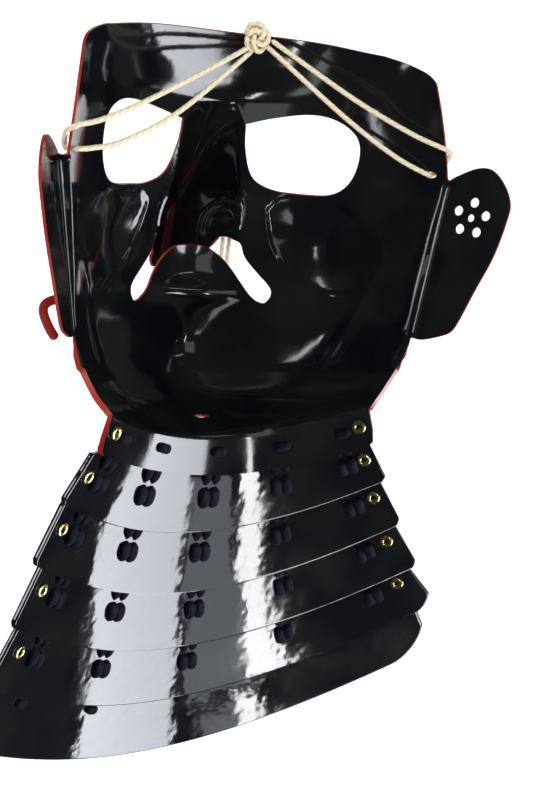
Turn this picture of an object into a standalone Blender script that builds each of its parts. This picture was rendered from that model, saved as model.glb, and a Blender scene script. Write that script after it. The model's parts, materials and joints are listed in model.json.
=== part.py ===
"""Full-face guard of a suit of armour, with a laced throat guard and its hanging cord.

The model is in metres, +Z up. The face looks along -Y, so the wearer's head comes in from +Y, and the
origin is in the hollow, midway between the two cord holes at the temples.

Every plate is a flat pattern that is meshed, formed by a function, and thickened outwards. Patterns and
tables are in millimetres. A pattern's first coordinate runs across the plate and its second up it.
"""

import math
from collections import namedtuple

import bmesh
import bpy
import numpy as np
from mathutils import Matrix, Vector, geometry

MM = 0.001

# Driving sizes, in millimetres.
FACE_WALL = 1.6
LAME_WALL = 1.5
FACE_SPACING = 6.2  # of the mesh points inside a plate
FINE_SPACING = 3.4  # of the points along a small opening
LAME_SPACING = 14.0
EAR_GAP = 0.35  # between the face's wall and an ear's root
LAP_HEIGHTS = (0, 3.0, 7.5, 7.5, 7.5, 7.5)  # how far each lame rises in front of the one above it
LAP_GAP = 5.6  # how far in front of it the lame stands there
LEAN_PIVOT_Z = -125.0  # the lames hang off square, each turned a little more about this height
CORD_DIAMETER = 2.2
LACE_DIAMETER = 2.4
LACE_HOLE = (4.3, 1.8)  # half width and half height, for a pair of laces
EYELET_HOLE = 2.5

# The face sheet's level sections. A section starts at its ear line, at height v, and its middle is pushed
# out to mid_y and hangs at mid_z. bow is the share of a parabola in its curve; the rest is flatter.
Section = namedtuple("Section", "v ear_x ear_y mid_y mid_z bow")
WAIST_V = -104.5
SECTIONS = (
    Section(60, 80.0, -11.0, -42.0, 60.0, 1.00),
    Section(45, 81.5, -6.5, -51.0, 45.0, 0.95),
    Section(30, 83.7, -3.5, -56.5, 30.0, 0.90),
    Section(15, 85.8, -1.8, -59.5, 15.0, 0.90),
    Section(0, 87.4, -1.3, -62.0, 0.0, 0.90),
    Section(-20, 85.1, -2.6, -64.0, -20.0, 0.90),
    Section(-45, 82.1, -4.2, -67.0, -45.0, 0.90),
    Section(-69, 79.2, -5.7, -69.0, -69.0, 0.88),
    Section(-80, 75.5, -6.3, -70.0, -86.0, 0.85),
    Section(-90, 71.0, -6.5, -66.5, -101.0, 0.83),
    Section(-98, 66.5, -5.5, -54.0, -112.5, 0.82),
    Section(WAIST_V, 61.6, -2.5, -28.0, -120.0, 1.00),
)

# Edges of the throat guard: the waist crease, the flange's lower edge, then each lame's lower edge.
Edge = namedtuple("Edge", "half_width end_y end_z mid_y mid_z")
GUARD_EDGES = (
    Edge(61.6, -2.5, -104.5, -28.0, -120.0),
    Edge(65.8, -2.6, -121.5, -28.0, -139.5),
    Edge(78.0, -10.0, -143.0, -39.0, -170.0),
    Edge(89.0, -14.5, -168.5, -50.0, -203.5),
    Edge(100.0, -18.5, -195.0, -61.5, -236.0),
    Edge(110.0, -23.0, -222.0, -73.0, -268.5),
    Edge(120.5, -28.0, -248.0, -84.5, -301.0),
)

# Each lame: half widths at the edge over it and at its own lower edge, how far it has swayed to the right
# and its turn. The cut of its lower corners is a width and a height.
Lame = namedtuple("Lame", "top bottom sway turn_deg corner")
LAMES = (
    None,
    Lame(66.8, 78.6, 0.0, 1.2, (2.2, 5.5)),
    Lame(77.3, 90.0, 0.8, 2.4, (2.2, 5.5)),
    Lame(87.2, 100.9, 2.2, 3.6, (2.2, 5.5)),
    Lame(97.4, 111.3, 1.2, 4.8, (3.0, 6.0)),
    Lame(107.4, 121.5, -1.0, 6.0, (13.0, 16.0)),
)

# The nose, by height: half width, how far it stands out, and how far its lower end droops over the mouth.
Nose = namedtuple("Nose", "v half_width depth droop")
NOSE = (
    Nose(28, 10.0, 0.0, 0.0),
    Nose(20, 14.5, 6.0, 0.0),
    Nose(10, 15.0, 13.0, 0.0),
    Nose(0, 15.5, 20.0, 0.0),
    Nose(-12, 17.5, 28.0, 0.0),
    Nose(-24, 20.0, 35.0, 2.0),
    Nose(-31, 21.0, 36.0, 9.0),
    Nose(-37, 21.5, 34.0, 18.0),
)
DROOP_HALF_WIDTH = 17.0

# Round swellings of the face, mirrored where x isn't 0. A negative depth is a fold that comes back in.
Swelling = namedtuple("Swelling", "x v half_x half_v depth")
SWELLINGS = (
    Swelling(0, 31, 60, 9, 2.5),  # brow
    Swelling(0, -50, 26, 24, 8.5),  # muzzle
    Swelling(0, -84, 30, 15, 7.0),  # chin
    Swelling(0, -62, 24, 5, -4.0),  # fold under the lower lip
    Swelling(14.5, -27, 7.0, 10, 4.0),  # nostril wing
    Swelling(50, -35, 17, 16, 6.0),  # cheek
    Swelling(62, -74, 11, 14, 2.0),  # jaw
)

# Outlines, for the wearer's left (+X) half. Each tuple is one smooth run, and runs meet in a corner.
EYE = ((15.6, 18.3), (16.8, 7.5), (21.4, -4.9), (30, -10.3), (44, -12), (55, -10.2), (60.5, -3.0),
       (62.2, 8), (60.2, 17.2), (53, 23.4), (43, 24.9), (28.5, 22.1), (15.6, 18.3))
LOWER_LIP = ((29.5, -64.6), (25.8, -61.0), (19.8, -50.8), (15.2, -45.0), (8.5, -40.4), (0, -39.4))
MOUTH_SIDE = ((29.5, -64.6), (33.2, -65.2), (35.6, -61.0), (34.6, -57.0), (30.3, -51.4), (24.2, -43.4),
              (22.0, -37.5), (18.0, -34.8), (13.0, -35.2), (7.0, -36.4), (0, -36.6))
TOP_EDGE = ((0, 56.8), (25, 56.8), (45, 55.9), (66, 53.2))
TOP_CORNER = ((66, 53.2), (73.5, 50.6), (79.4, 46.8), (82.3, 42.0))
EDGE_PAST_EAR_LINE = ((42, 2.0), (3, 2.0), (-70.5, 2.6), (-84, 2.4), (-98, 1.4), (WAIST_V, 0.4))
EAR_ROOT_TOP = -0.6
EAR_ROOT_LOW = -69.6
CORD_HOLE = (84.0, 2.7)
CORD_HOLE_R = 2.0
CHIN_SLOT = (0.0, -98.6, 3.8, 1.3)  # centre, half width, half height

# The ear plate, in its own plane: out from its root crease, and down along it.
EAR_CREASE_TOP = Vector((91.3, -1.2, -0.8))
EAR_CREASE_LOW = Vector((81.2, -2.3, -69.5))
EAR_OUT = Vector((0.503, 0.860, -0.088))
EAR_EDGE = ((0, -1.6), (4.5, -5.0), (12.5, -9.4), (19.5, -9.8), (26.5, -4.5), (31.2, 3.0), (31.5, 11.0),
            (29.4, 27.0), (24.5, 44.0), (20.6, 58.0), (17.8, 64.2), (12.1, 67.8), (5.0, 70.8), (0, 71.0))
EAR_VENT_CENTRE = (14.6, 12.6)
EAR_VENT_RING = 7.0
EAR_VENT_R = 2.2
EAR_MIDDLE_VENT_R = 1.7

# Fastenings of a lame, as a share of its half width, and how far down from its top edge they lie.
LACE_COLUMNS = (-0.86, -0.48, 0.0, 0.48, 0.86)
LACE_PAIR = 4.8  # between the two laces of a column
LACE_HOLE_DROPS = (-3.2, -14.6)
FLANGE_LACE_SHARE = 0.95  # the flange's columns stand closer together
FLANGE_HOLE_DROPS = (-4.0, -11.2)
EYELET_SHARE = 0.95
EYELET_DROP = -10.2
FLANGE_EYELET = (0.905, -6.5)

COLOURS = {
    "black_lacquer": ((0.012, 0.012, 0.014), 0.12, 0.0),
    "red_lacquer": ((0.45, 0.03, 0.02), 0.25, 0.0),
    "navy_braid": ((0.02, 0.025, 0.09), 0.8, 0.0),
    "brass": ((0.75, 0.58, 0.28), 0.3, 1.0),
    "hemp_cord": ((0.82, 0.74, 0.58), 0.85, 0.0),
}


def clear_scene():
    for item in list(bpy.data.objects):
        bpy.data.objects.remove(item, do_unlink=True)


def material(name):
    found = bpy.data.materials.get(name)
    if found is None:
        colour, roughness, metallic = COLOURS[name]
        found = bpy.data.materials.new(name)
        found.use_nodes = True
        shader = found.node_tree.nodes["Principled BSDF"]
        shader.inputs["Base Color"].default_value = (*colour, 1.0)
        shader.inputs["Roughness"].default_value = roughness
        shader.inputs["Metallic"].default_value = metallic
    return found


def new_object(name, data, finish):
    data.materials.append(material(finish))
    item = bpy.data.objects.new(name, data)
    bpy.context.scene.collection.objects.link(item)
    return item


# ---- Smooth tables and outlines ----


def read_table(rows, column, at):
    """A column of a table of rows, read smoothly at the heights in at. The first field is the height."""
    heights = np.array([row[0] for row in rows][::-1], float)
    values = np.array([getattr(row, column) for row in rows][::-1], float)
    slopes = np.gradient(values, heights)
    at = np.clip(at, heights[0], heights[-1])
    low = np.clip(np.searchsorted(heights, at) - 1, 0, len(heights) - 2)
    step = heights[low + 1] - heights[low]
    t = (at - heights[low]) / step
    return (
        (2 * t**3 - 3 * t**2 + 1) * values[low]
        + (t**3 - 2 * t**2 + t) * step * slopes[low]
        + (3 * t**2 - 2 * t**3) * values[low + 1]
        + (t**3 - t**2) * step * slopes[low + 1]
    )


def run_through(points, step):
    """Points about a step apart on a smooth curve through the given ones, without the last."""
    points = [Vector(p) for p in points]
    ends = [2 * points[0] - points[1], *points, 2 * points[-1] - points[-2]]
    if (points[0] - points[-1]).length < 1e-6:
        ends[0], ends[-1] = points[0], points[-1]  # a closed run keeps a corner where it starts
    found = []
    for before, start, end, after in zip(ends, ends[1:], ends[2:], ends[3:]):
        count = max(1, round((end - start).length / step))
        for i in range(count):
            t = i / count
            found.append(
                0.5 * (2 * start + (end - before) * t + (2 * before - 5 * start + 4 * end - after) * t**2
                       + (3 * start - before - 3 * end + after) * t**3)
            )
    return found


def mirrored(points):
    """The same points on the other side, in the other order, so that the outline stays one loop."""
    return [Vector((-p[0], *p[1:])) for p in reversed(points)]


def circle(centre, radius, count):
    turn = 2 * math.pi / count
    return [
        Vector((centre[0] + radius * math.cos(i * turn), centre[1] + radius * math.sin(i * turn)))
        for i in range(count)
    ]


# ---- Patterns ----


def inside(points, loop):
    """Whether each point lies inside the loop."""
    loop = np.array(loop)
    ends = np.roll(loop, -1, axis=0)
    hits = np.zeros(len(points), int)
    for (x0, y0), (x1, y1) in zip(loop, ends):
        crosses = (y0 > points[:, 1]) != (y1 > points[:, 1])
        if y0 != y1:
            hits += crosses & (points[:, 0] < x0 + (points[:, 1] - y0) * (x1 - x0) / (y1 - y0))
    return hits % 2 == 1


def field_points(outline, holes, rims, spacing):
    """Points of an even field inside the outline, clear of the holes and of every rim point."""
    low, high = np.min(outline, axis=0), np.max(outline, axis=0)
    row_step = spacing * math.sqrt(0.75)
    rows = np.arange(low[1] + row_step / 2, high[1], row_step)
    half_count = math.ceil(max(-low[0], high[0]) / spacing)
    field = np.array([
        ((i + 0.5 * (j % 2)) * spacing, y) for j, y in enumerate(rows) for i in range(-half_count - 1, half_count + 1)
    ])
    keep = inside(field, outline)
    for hole in holes:
        keep &= ~inside(field, hole)
    field = field[keep]
    nearest = np.linalg.norm(field[:, None] - rims[None], axis=2).min(axis=1)
    return field[nearest > 0.6 * spacing]


def pattern(outline, holes=(), creases=(), spacing=FACE_SPACING):
    """Flat points and triangles of a plate with holes. The mesh has edges along every crease."""
    loops = [outline, *holes]
    points, edges = [], []
    for loop in loops:
        first = len(points)
        points += [tuple(p) for p in loop]
        edges += [(first + i, first + (i + 1) % len(loop)) for i in range(len(loop))]
    for crease in creases:
        first = len(points)
        points += [tuple(p) for p in crease]
        edges += [(first + i, first + i + 1) for i in range(len(crease) - 1)]
    field = field_points(np.array(outline), [np.array(h) for h in holes], np.array(points), spacing)
    flat, _, triangles, *_ = geometry.delaunay_2d_cdt(
        [Vector(p) for p in points] + [Vector(p) for p in field], edges, [], 0, 1e-6
    )
    flat = np.array(flat)
    triangles = np.array(triangles)
    middles = flat[triangles].mean(axis=1)
    keep = inside(middles, outline)
    for hole in holes:
        keep &= ~inside(middles, hole)
    used, index = np.unique(triangles[keep], return_inverse=True)
    return flat[used], index.reshape(-1, 3)


def formed_plate(name, flat, triangles, form, wall, finish, flip=False):
    """An object with the pattern formed to shape, its given side kept and its wall grown outwards."""
    mesh = bpy.data.meshes.new(name)
    if flip:
        triangles = triangles[:, ::-1]
    mesh.from_pydata((form(flat) * MM).tolist(), [], triangles.tolist())
    mesh.shade_smooth()
    item = new_object(name, mesh, finish)
    thick = item.modifiers.new("wall", "SOLIDIFY")
    thick.thickness = wall * MM
    thick.offset = 1.0
    thick.use_even_offset = True
    return item


# ---- The face ----


def bowed(share, bow):
    return bow * share**2 + (1 - bow) * share**4


def face_form(flat):
    """The face's inner surface for points (x, v), and the flange below its waist."""
    x, v = flat[:, 0], flat[:, 1]
    above = np.maximum(v, WAIST_V)
    ear_x = read_table(SECTIONS, "ear_x", above)
    share = x / ear_x
    curve = bowed(share, read_table(SECTIONS, "bow", above))
    mid_y, ear_y = read_table(SECTIONS, "mid_y", above), read_table(SECTIONS, "ear_y", above)
    y = mid_y + (ear_y - mid_y) * curve
    z = above + (read_table(SECTIONS, "mid_z", above) - above) * (1 - share**2)
    for s in SWELLINGS:
        for side in (1, -1) if s.x else (1,):
            y = y - s.depth * np.exp(-(((x - side * s.x) / s.half_x) ** 2) - ((v - s.v) / s.half_v) ** 2)
    on_nose = np.clip(1 - (x / read_table(NOSE, "half_width", v)) ** 2, 0, 1) * (v > NOSE[-1].v - 2)
    y = y - read_table(NOSE, "depth", v) * on_nose**1.35
    z = z - read_table(NOSE, "droop", v) * np.clip(1 - (x / DROOP_HALF_WIDTH) ** 4, 0, 1) * (on_nose > 0)
    return np.stack([x, *flange_drop(x, y, z, v)], axis=1)


def flange_drop(x, y, z, v):
    """Below the waist the sheet turns down into a band that the first lame is laced to."""
    waist, lower = GUARD_EDGES[:2]
    down = np.clip((WAIST_V - v) / (waist.end_z - lower.end_z), 0, 1)
    share = x / (waist.half_width + (lower.half_width - waist.half_width) * down)
    band_y = edge_y(waist, share) * (1 - down) + edge_y(lower, share) * down
    band_z = edge_z(waist, share) * (1 - down) + edge_z(lower, share) * down
    below = v < WAIST_V
    return np.where(below, band_y, y), np.where(below, band_z, z)


def face_edge(v):
    """The face's own back edge at height v, a little past the ear line."""
    past = np.interp(v, [p[0] for p in reversed(EDGE_PAST_EAR_LINE)], [p[1] for p in reversed(EDGE_PAST_EAR_LINE)])
    return float(read_table(SECTIONS, "ear_x", np.array([v]))[0] + past)


def face_outline():
    """The left half of the face's pattern from top to bottom, then its mirror image."""
    left = run_through(TOP_EDGE, FACE_SPACING)[1:] + run_through(TOP_CORNER, FACE_SPACING)
    above = np.linspace(TOP_CORNER[-1][1], 2.5, 9)
    left += [Vector((face_edge(v), v)) for v in above]
    beside_ear = np.linspace(EAR_ROOT_TOP, EAR_ROOT_LOW, 13)
    left += [Vector((float(read_table(SECTIONS, "ear_x", np.array([v]))[0]), v)) for v in beside_ear]
    below = np.linspace(EAR_ROOT_LOW - 3.2, WAIST_V, 8)
    left += [Vector((face_edge(v), v)) for v in below]
    waist, lower = GUARD_EDGES[:2]
    left += [Vector((lower.half_width - 1.0, lower.end_z + 7)), Vector((lower.half_width, lower.end_z + 1.5))]
    bottom = np.linspace(lower.half_width - 1.5, 0, 13)
    left += [Vector((x, lower.end_z)) for x in bottom[:-1]]
    return [Vector((0, TOP_EDGE[0][1])), *left, Vector((0, lower.end_z)), *mirrored(left)]


def eye_outline(side):
    points = run_through(EYE, FINE_SPACING)
    return points if side > 0 else mirrored(points)


def mouth_outline():
    lip = run_through(LOWER_LIP, FINE_SPACING)
    side = run_through(MOUTH_SIDE, FINE_SPACING)
    half = list(reversed(lip[1:])) + side
    bottom, top = Vector(LOWER_LIP[-1]), Vector(MOUTH_SIDE[-1])
    return [bottom, *half, top, *mirrored(half)]


def build_face():
    slot_x, slot_v, slot_half_x, slot_half_v = CHIN_SLOT
    slot = [Vector((slot_x + a * slot_half_x, slot_v + b * slot_half_v)) for a, b in
            ((-1, 0), (-0.8, -1), (0.8, -1), (1, 0), (0.8, 1), (-0.8, 1))]
    holes = [eye_outline(1), eye_outline(-1), mouth_outline(), slot]
    holes += [circle((side * CORD_HOLE[0], CORD_HOLE[1]), CORD_HOLE_R, 8) for side in (1, -1)]
    holes += flange_holes()
    waist_x = np.linspace(-1, 1, 25) * (face_edge(WAIST_V) - 0.01)
    crease = [Vector((x, WAIST_V)) for x in waist_x[1:-1]]
    flat, triangles = pattern(face_outline(), holes, [crease])
    return formed_plate("face_shell", flat, triangles, face_form, FACE_WALL, "black_lacquer")


# ---- Ears ----


def ear_form(flat, side):
    """The ear plate for points (out, down); a negative out is the narrow step back to the face."""
    down_way = (EAR_CREASE_LOW - EAR_CREASE_TOP).normalized()
    out, down = flat[:, 0:1], flat[:, 1:2]
    crease = np.array(EAR_CREASE_TOP) + down * np.array(down_way)
    plate = crease + np.maximum(out, 0) * np.array(EAR_OUT)
    v = np.clip(crease[:, 2], EAR_ROOT_LOW, EAR_ROOT_TOP)
    root_x = read_table(SECTIONS, "ear_x", v) + FACE_WALL * 0.85 + EAR_GAP
    root = np.stack([root_x, read_table(SECTIONS, "ear_y", v), crease[:, 2]], axis=1)
    points = plate + (root - crease) * np.clip(-out, 0, 1)
    points[:, 0] *= side
    return points


def build_ear(name, side):
    edge = run_through(EAR_EDGE, FACE_SPACING)
    length = (EAR_CREASE_LOW - EAR_CREASE_TOP).length
    downs = np.linspace(length - 0.5, 0.8, 13)
    step = [Vector((-1.0, d)) for d in downs]
    ring = [
        (EAR_VENT_CENTRE[0] + EAR_VENT_RING * math.sin(i * math.tau / 5),
         EAR_VENT_CENTRE[1] - EAR_VENT_RING * math.cos(i * math.tau / 5))
        for i in range(5)
    ]
    holes = [circle(c, EAR_VENT_R, 8) for c in ring] + [circle(EAR_VENT_CENTRE, EAR_MIDDLE_VENT_R, 8)]
    crease = [Vector((0, d)) for d in np.linspace(0.2, length - 0.2, 14)]
    outline = [*edge, Vector(EAR_EDGE[-1]), *step]
    flat, triangles = pattern(outline, holes, [crease], spacing=7.0)
    return formed_plate(
        name, flat, triangles, lambda points: ear_form(points, side), FACE_WALL, "black_lacquer", flip=side > 0
    )


# ---- Throat guard ----


def edge_y(edge, share):
    return edge.mid_y + (edge.end_y - edge.mid_y) * share**2


def edge_z(edge, share):
    return edge.mid_z + (edge.end_z - edge.mid_z) * share**2


def lame_height(number):
    above, below = GUARD_EDGES[number], GUARD_EDGES[number + 1]
    return (above.end_z + above.mid_z - below.end_z - below.mid_z) / 2


def lame_width(number, height):
    """Half width of a lame's pattern at this height above the edge over it."""
    lame = LAMES[number]
    down = np.maximum(-height, 0) / lame_height(number)
    over = GUARD_EDGES[number - 1].half_width - GUARD_EDGES[number].half_width
    return lame.top + (lame.bottom - lame.top) * down + over * np.maximum(height, 0) / lame_height(number - 1)


def lame_form(flat, number):
    """Inner surface of a lame for points (x, height above the edge over it), as it hangs.

    The strip above that edge lies in front of the plate over it and follows its slope.
    """
    above, below = GUARD_EDGES[number], GUARD_EDGES[number + 1]
    over = GUARD_EDGES[number - 1]
    x, height = flat[:, 0], flat[:, 1]
    down = np.maximum(-height, 0) / lame_height(number)
    up = np.maximum(height, 0) / lame_height(number - 1)
    share = x / lame_width(number, height)
    y, z = edge_y(above, share), edge_z(above, share)
    y = y + (edge_y(below, share) - y) * down + (edge_y(over, share) - y) * up
    z = z + (edge_z(below, share) - z) * down + (edge_z(over, share) - z) * up
    y = y - LAP_GAP * (1 - down) * (1 + 0.2 * share**2)
    return hang(np.stack([x, y, z], axis=1), LAMES[number])


def hang(points, lame):
    angle = math.radians(lame.turn_deg)
    x, z = points[:, 0].copy(), points[:, 2] - LEAN_PIVOT_Z
    points[:, 0] = x * math.cos(angle) + z * math.sin(angle) - lame.sway
    points[:, 2] = LEAN_PIVOT_Z - x * math.sin(angle) + z * math.cos(angle)
    return points


def flange_form(flat):
    """A point of the flange for (x, drop below its waist), as face_form places it."""
    return face_form(np.stack([flat[:, 0], WAIST_V + flat[:, 1]], axis=1))


def column_x(number, share, height):
    """How far across the flange (0) or a lame a share of its half width lies, at this height."""
    return share * (lame_width(number, height) if number else GUARD_EDGES[1].half_width)


def lace_spots(number, share, offset):
    """Pattern places of a lace's upper and lower hole in the flange (0) or a lame."""
    drops = LACE_HOLE_DROPS if number else FLANGE_HOLE_DROPS
    share = share if number else share * FLANGE_LACE_SHARE
    return [beside(number, (column_x(number, share, drop), drop), [(offset, 0)])[0] for drop in drops]


def eyelet_spot(number, side):
    share, drop = (EYELET_SHARE, EYELET_DROP) if number else FLANGE_EYELET
    return side * column_x(number, share, drop), drop


def plate_holes(number):
    """Holes of the flange (0) or of a lame, for its laces and its eyelets."""
    half_x, half_y = LACE_HOLE
    corners = ((-1, 0), (-0.75, -1), (0.75, -1), (1, 0), (0.75, 1), (-0.75, 1))
    slot = [(a * half_x, b * half_y) for a, b in corners]
    holes = [
        beside(number, spot, slot) for share in LACE_COLUMNS for spot in lace_spots(number, share, 0)
    ]
    if number < 5:
        ring = circle((0, 0), EYELET_HOLE, 8)
        holes += [beside(number, eyelet_spot(number, side), ring) for side in (1, -1)]
    return holes


def flange_holes():
    return [[Vector((p.x, p.y + WAIST_V)) for p in hole] for hole in plate_holes(0)]


def lame_outline(number):
    """A lame's pattern: a rising top edge, splayed sides and cut lower corners."""
    lame, height, lap = LAMES[number], lame_height(number), LAP_HEIGHTS[number]
    top = float(lame_width(number, lap)) - 0.6
    cut_x, cut_y = lame.corner
    side = [Vector((top, lap)), Vector((lame.top, 0)), Vector((lame.bottom, -height + cut_y)),
            *(Vector((lame.bottom - cut_x * a, -height + cut_y * b)) for a, b in ((0.09, 0.6), (0.36, 0.25))),
            Vector((lame.bottom - cut_x, -height))]
    bottom = np.linspace(lame.bottom - cut_x, 0, 13)[1:-1]
    upper = np.linspace(0, top, 11)[1:-1]
    left = [Vector((x, lap)) for x in upper] + side + [Vector((x, -height)) for x in bottom]
    return [Vector((0, lap)), *left, Vector((0, -height)), *mirrored(left)]


def build_lame(number):
    flat, triangles = pattern(lame_outline(number), plate_holes(number), spacing=LAME_SPACING)
    return formed_plate(
        f"lame_{number}", flat, triangles, lambda points: lame_form(points, number), LAME_WALL, "black_lacquer"
    )


# ---- Eyelets and lacing ----


def surface(number, spot):
    """A place on the inner surface of the flange (0) or a lame, with the ways across, up and out of it."""
    x, drop = spot
    around = np.array([(x, drop), (x + 1, drop), (x, drop + 1)], float)
    at, across, up = flange_form(around) if number == 0 else lame_form(around, number)
    return Vector(at), Vector(across - at), Vector(up - at), Vector(across - at).cross(Vector(up - at)).normalized()


def beside(number, spot, offsets):
    """Pattern places that lie these true distances across and up from a spot."""
    _, across, up, outward = surface(number, spot)
    level = across.normalized()
    upright = outward.cross(level)
    found = []
    for a, b in offsets:
        rise = b / up.dot(upright)
        found.append(Vector(((a - rise * up.dot(level)) / across.length + spot[0], rise + spot[1])))
    return found


def build_eyelet(name, number, side):
    """A hollow rivet through the wall: a rolled rim on each face and a barrel between them."""
    at, _, _, outward = surface(number, eyelet_spot(number, side))
    wall = LAME_WALL if number else FACE_WALL
    barrel, bore, rim, gap, lip = EYELET_HOLE - 0.6, 1.2, 3.2, 0.45, 0.5
    inner, outer = -gap - lip, wall + gap + lip
    profile = ((bore, inner), (rim, inner), (rim, inner + lip), (barrel, inner + lip),
               (barrel, outer - lip), (rim, outer - lip), (rim, outer), (bore, outer))
    count = 8
    turn = outward.to_track_quat("Z", "Y")
    points, faces = [], []
    for i in range(count):
        angle = math.tau * i / count
        for radius, height in profile:
            spot = Vector((radius * math.cos(angle), radius * math.sin(angle), height))
            points.append((at + turn @ spot) * MM)
    size = len(profile)
    for i in range(count):
        for j in range(size):
            a, b = i * size, (i + 1) % count * size
            faces.append((a + j, b + j, b + (j + 1) % size, a + (j + 1) % size))
    mesh = bpy.data.meshes.new(name)
    mesh.from_pydata(points, [], faces)
    return new_object(name, mesh, "brass")


def tube(name, points, diameter, finish, sides_level):
    curve = bpy.data.curves.new(name, "CURVE")
    curve.dimensions = "3D"
    curve.bevel_depth = diameter / 2 * MM
    curve.bevel_resolution = sides_level
    curve.use_fill_caps = True
    spline = curve.splines.new("POLY")
    spline.points.add(len(points) - 1)
    for point, place in zip(spline.points, points):
        point.co = (*(Vector(place) * MM), 1.0)
    return new_object(name, curve, finish)


def lace_route(share, offset):
    """Down one lace: inside across a plate, out through its hole, over the next plate's top edge and in."""
    inside_stand = -(LACE_DIAMETER / 2 + 0.45)
    route = []
    for number in range(6):
        outside_stand = (LAME_WALL if number else FACE_WALL) + LACE_DIAMETER / 2 + 0.45
        upper, lower = lace_spots(number, share, offset)
        (top, _, _, top_out), (low, _, _, low_out) = surface(number, upper), surface(number, lower)
        if number:
            over_top = (column_x(number, share, 0) + upper.x - column_x(number, share, upper.y),
                        LAP_HEIGHTS[number] + 1.2)
            brow, _, _, brow_out = surface(number, over_top)
            route += [brow + brow_out * outside_stand, top + top_out * outside_stand]
        route += [top + top_out * inside_stand, low + low_out * inside_stand]
        if number < 5:
            route.append(low + low_out * (outside_stand - 0.1))
    return route


def build_lace(name, share, offset):
    return tube(name, lace_route(share, offset), LACE_DIAMETER, "navy_braid", 0)


# ---- Cord pegs ----

PEG_ROUTE = ((78.5, -25.5, -59.5), (84.5, -22.5, -60.0), (87.6, -21.5, -62.0), (87.8, -21.0, -65.5),
             (85.5, -20.0, -71.0), (82.6, -19.0, -75.6))
PEG_DIAMETER = 4.0


def build_peg(name, side):
    """A bent rod that stands out of the cheek and turns down, for the helmet's cord."""
    route = run_through([(side * x, y, z) for x, y, z in PEG_ROUTE], 2.4)
    route.append(Vector((side * PEG_ROUTE[-1][0], *PEG_ROUTE[-1][1:])))
    return tube(name, route, PEG_DIAMETER, "red_lacquer", 2)


# ---- The hanging cord ----

# The knot's middle and its half sizes.
KNOT = ((-11.0, -39.6, 56.2), (6.4, 3.4, 7.0))
# Each loop leaves the knot, runs to a temple, goes over the edge and in through its hole, and comes back.
LOOP_LEFT = ((-3.6, -41.2, 49.9), (25.2, -27.4, 35.7), (54.3, -13.8, 22.3), (74.1, -3.6, 14.8),
             (84.4, 1.4, 12.4), (87.4, 3.2, 11.6), (89.6, 3.4, 11.0), (91.5, 0.8, 9.8),
             (90.7, -2.7, 7.0), (88.7, -6.0, 4.4), (86.4, -7.6, 2.9), (84.2, -6.3, 2.7), (82.0, -5.0, 2.9),
             (76.0, -6.6, 3.6), (60.1, -14.6, 7.0), (31.8, -26.6, 20.5), (-4.4, -42.0, 46.6))
LOOP_RIGHT = ((-19.6, -39.4, 53.6), (-49.9, -21.0, 33.0), (-72.0, -6.2, 20.2),
              (-84.0, 1.8, 14.9), (-87.0, 3.2, 13.8), (-89.2, 3.4, 13.0), (-91.4, 0.8, 11.4),
              (-90.7, -2.7, 8.0), (-88.7, -6.0, 4.6), (-86.4, -7.6, 2.9), (-84.2, -6.3, 2.7), (-82.0, -5.2, 2.9),
              (-68.9, -12.7, 9.6), (-48.2, -24.0, 24.6), (-18.6, -40.6, 50.0))
# The ends leave the knot over the top edge and hang down outside.
TAIL_NEAR = ((-9.2, -43.6, 60.9), (-9.3, -48.6, 61.4), (-9.6, -52.6, 57.5), (-10.2, -55.6, 49.0),
             (-10.8, -59.2, 38.0), (-12.0, -63.0, 26.0), (-13.3, -65.2, 16.0), (-15.4, -68.0, 5.0),
             (-17.0, -72.2, -8.0), (-18.6, -77.0, -20.0), (-19.6, -80.8, -32.0), (-19.6, -82.2, -44.0),
             (-19.5, -82.6, -54.0))
TAIL_SHIFT = (-3.1, 0.4, 0.0)


def cord(name, route):
    points = run_through(route, 3 * CORD_DIAMETER)
    return tube(name, [*points, Vector(route[-1])], CORD_DIAMETER, "hemp_cord", 2)


def build_knot():
    middle, half = KNOT
    shape = bmesh.new()
    bmesh.ops.create_uvsphere(shape, u_segments=12, v_segments=8, radius=1.0)
    bmesh.ops.transform(
        shape, verts=shape.verts,
        matrix=Matrix.LocRotScale(Vector(middle) * MM, None, Vector(half) * MM),
    )
    mesh = bpy.data.meshes.new("cord_knot")
    shape.to_mesh(mesh)
    shape.free()
    mesh.shade_smooth()
    new_object("cord_knot", mesh, "hemp_cord")


def build_cords():
    build_knot()
    cord("cord_left", LOOP_LEFT)
    cord("cord_right", LOOP_RIGHT)
    cord("cord_tail_near", TAIL_NEAR)
    cord("cord_tail_far", [Vector(p) + Vector(TAIL_SHIFT) for p in TAIL_NEAR])


def main():
    clear_scene()
    build_face()
    for name, side in (("left", 1), ("right", -1)):
        build_ear(f"ear_{name}", side)
        build_peg(f"cord_peg_{name}", side)
    for number in range(1, 6):
        build_lame(number)
    for number in range(5):
        for name, side in (("left", 1), ("right", -1)):
            build_eyelet(f"eyelet_{name}_{number}", number, side)
    for column, share in enumerate(LACE_COLUMNS, 1):
        build_lace(f"lace_{column}a", share, LACE_PAIR / 2)
        build_lace(f"lace_{column}b", share, -LACE_PAIR / 2)
    build_cords()


main()
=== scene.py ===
"""Looks of a full-face guard with a laced throat guard and a hanging cord, built round its CAD frame.

Tables and patterns are in millimetres: a pattern's first coordinate runs across a plate and its second up
it. Finished pieces are in metres, +Z up. The face looks along -Y and the wearer's left is +X.
"""

import json
import logging
import math
from collections.abc import Callable, Iterator, Sequence
from contextlib import contextmanager
from dataclasses import dataclass, field
from enum import Enum
from functools import partial

import bpy
import numpy as np
from mathutils import Matrix, Quaternion, Vector, geometry
from mathutils.kdtree import KDTree

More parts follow.
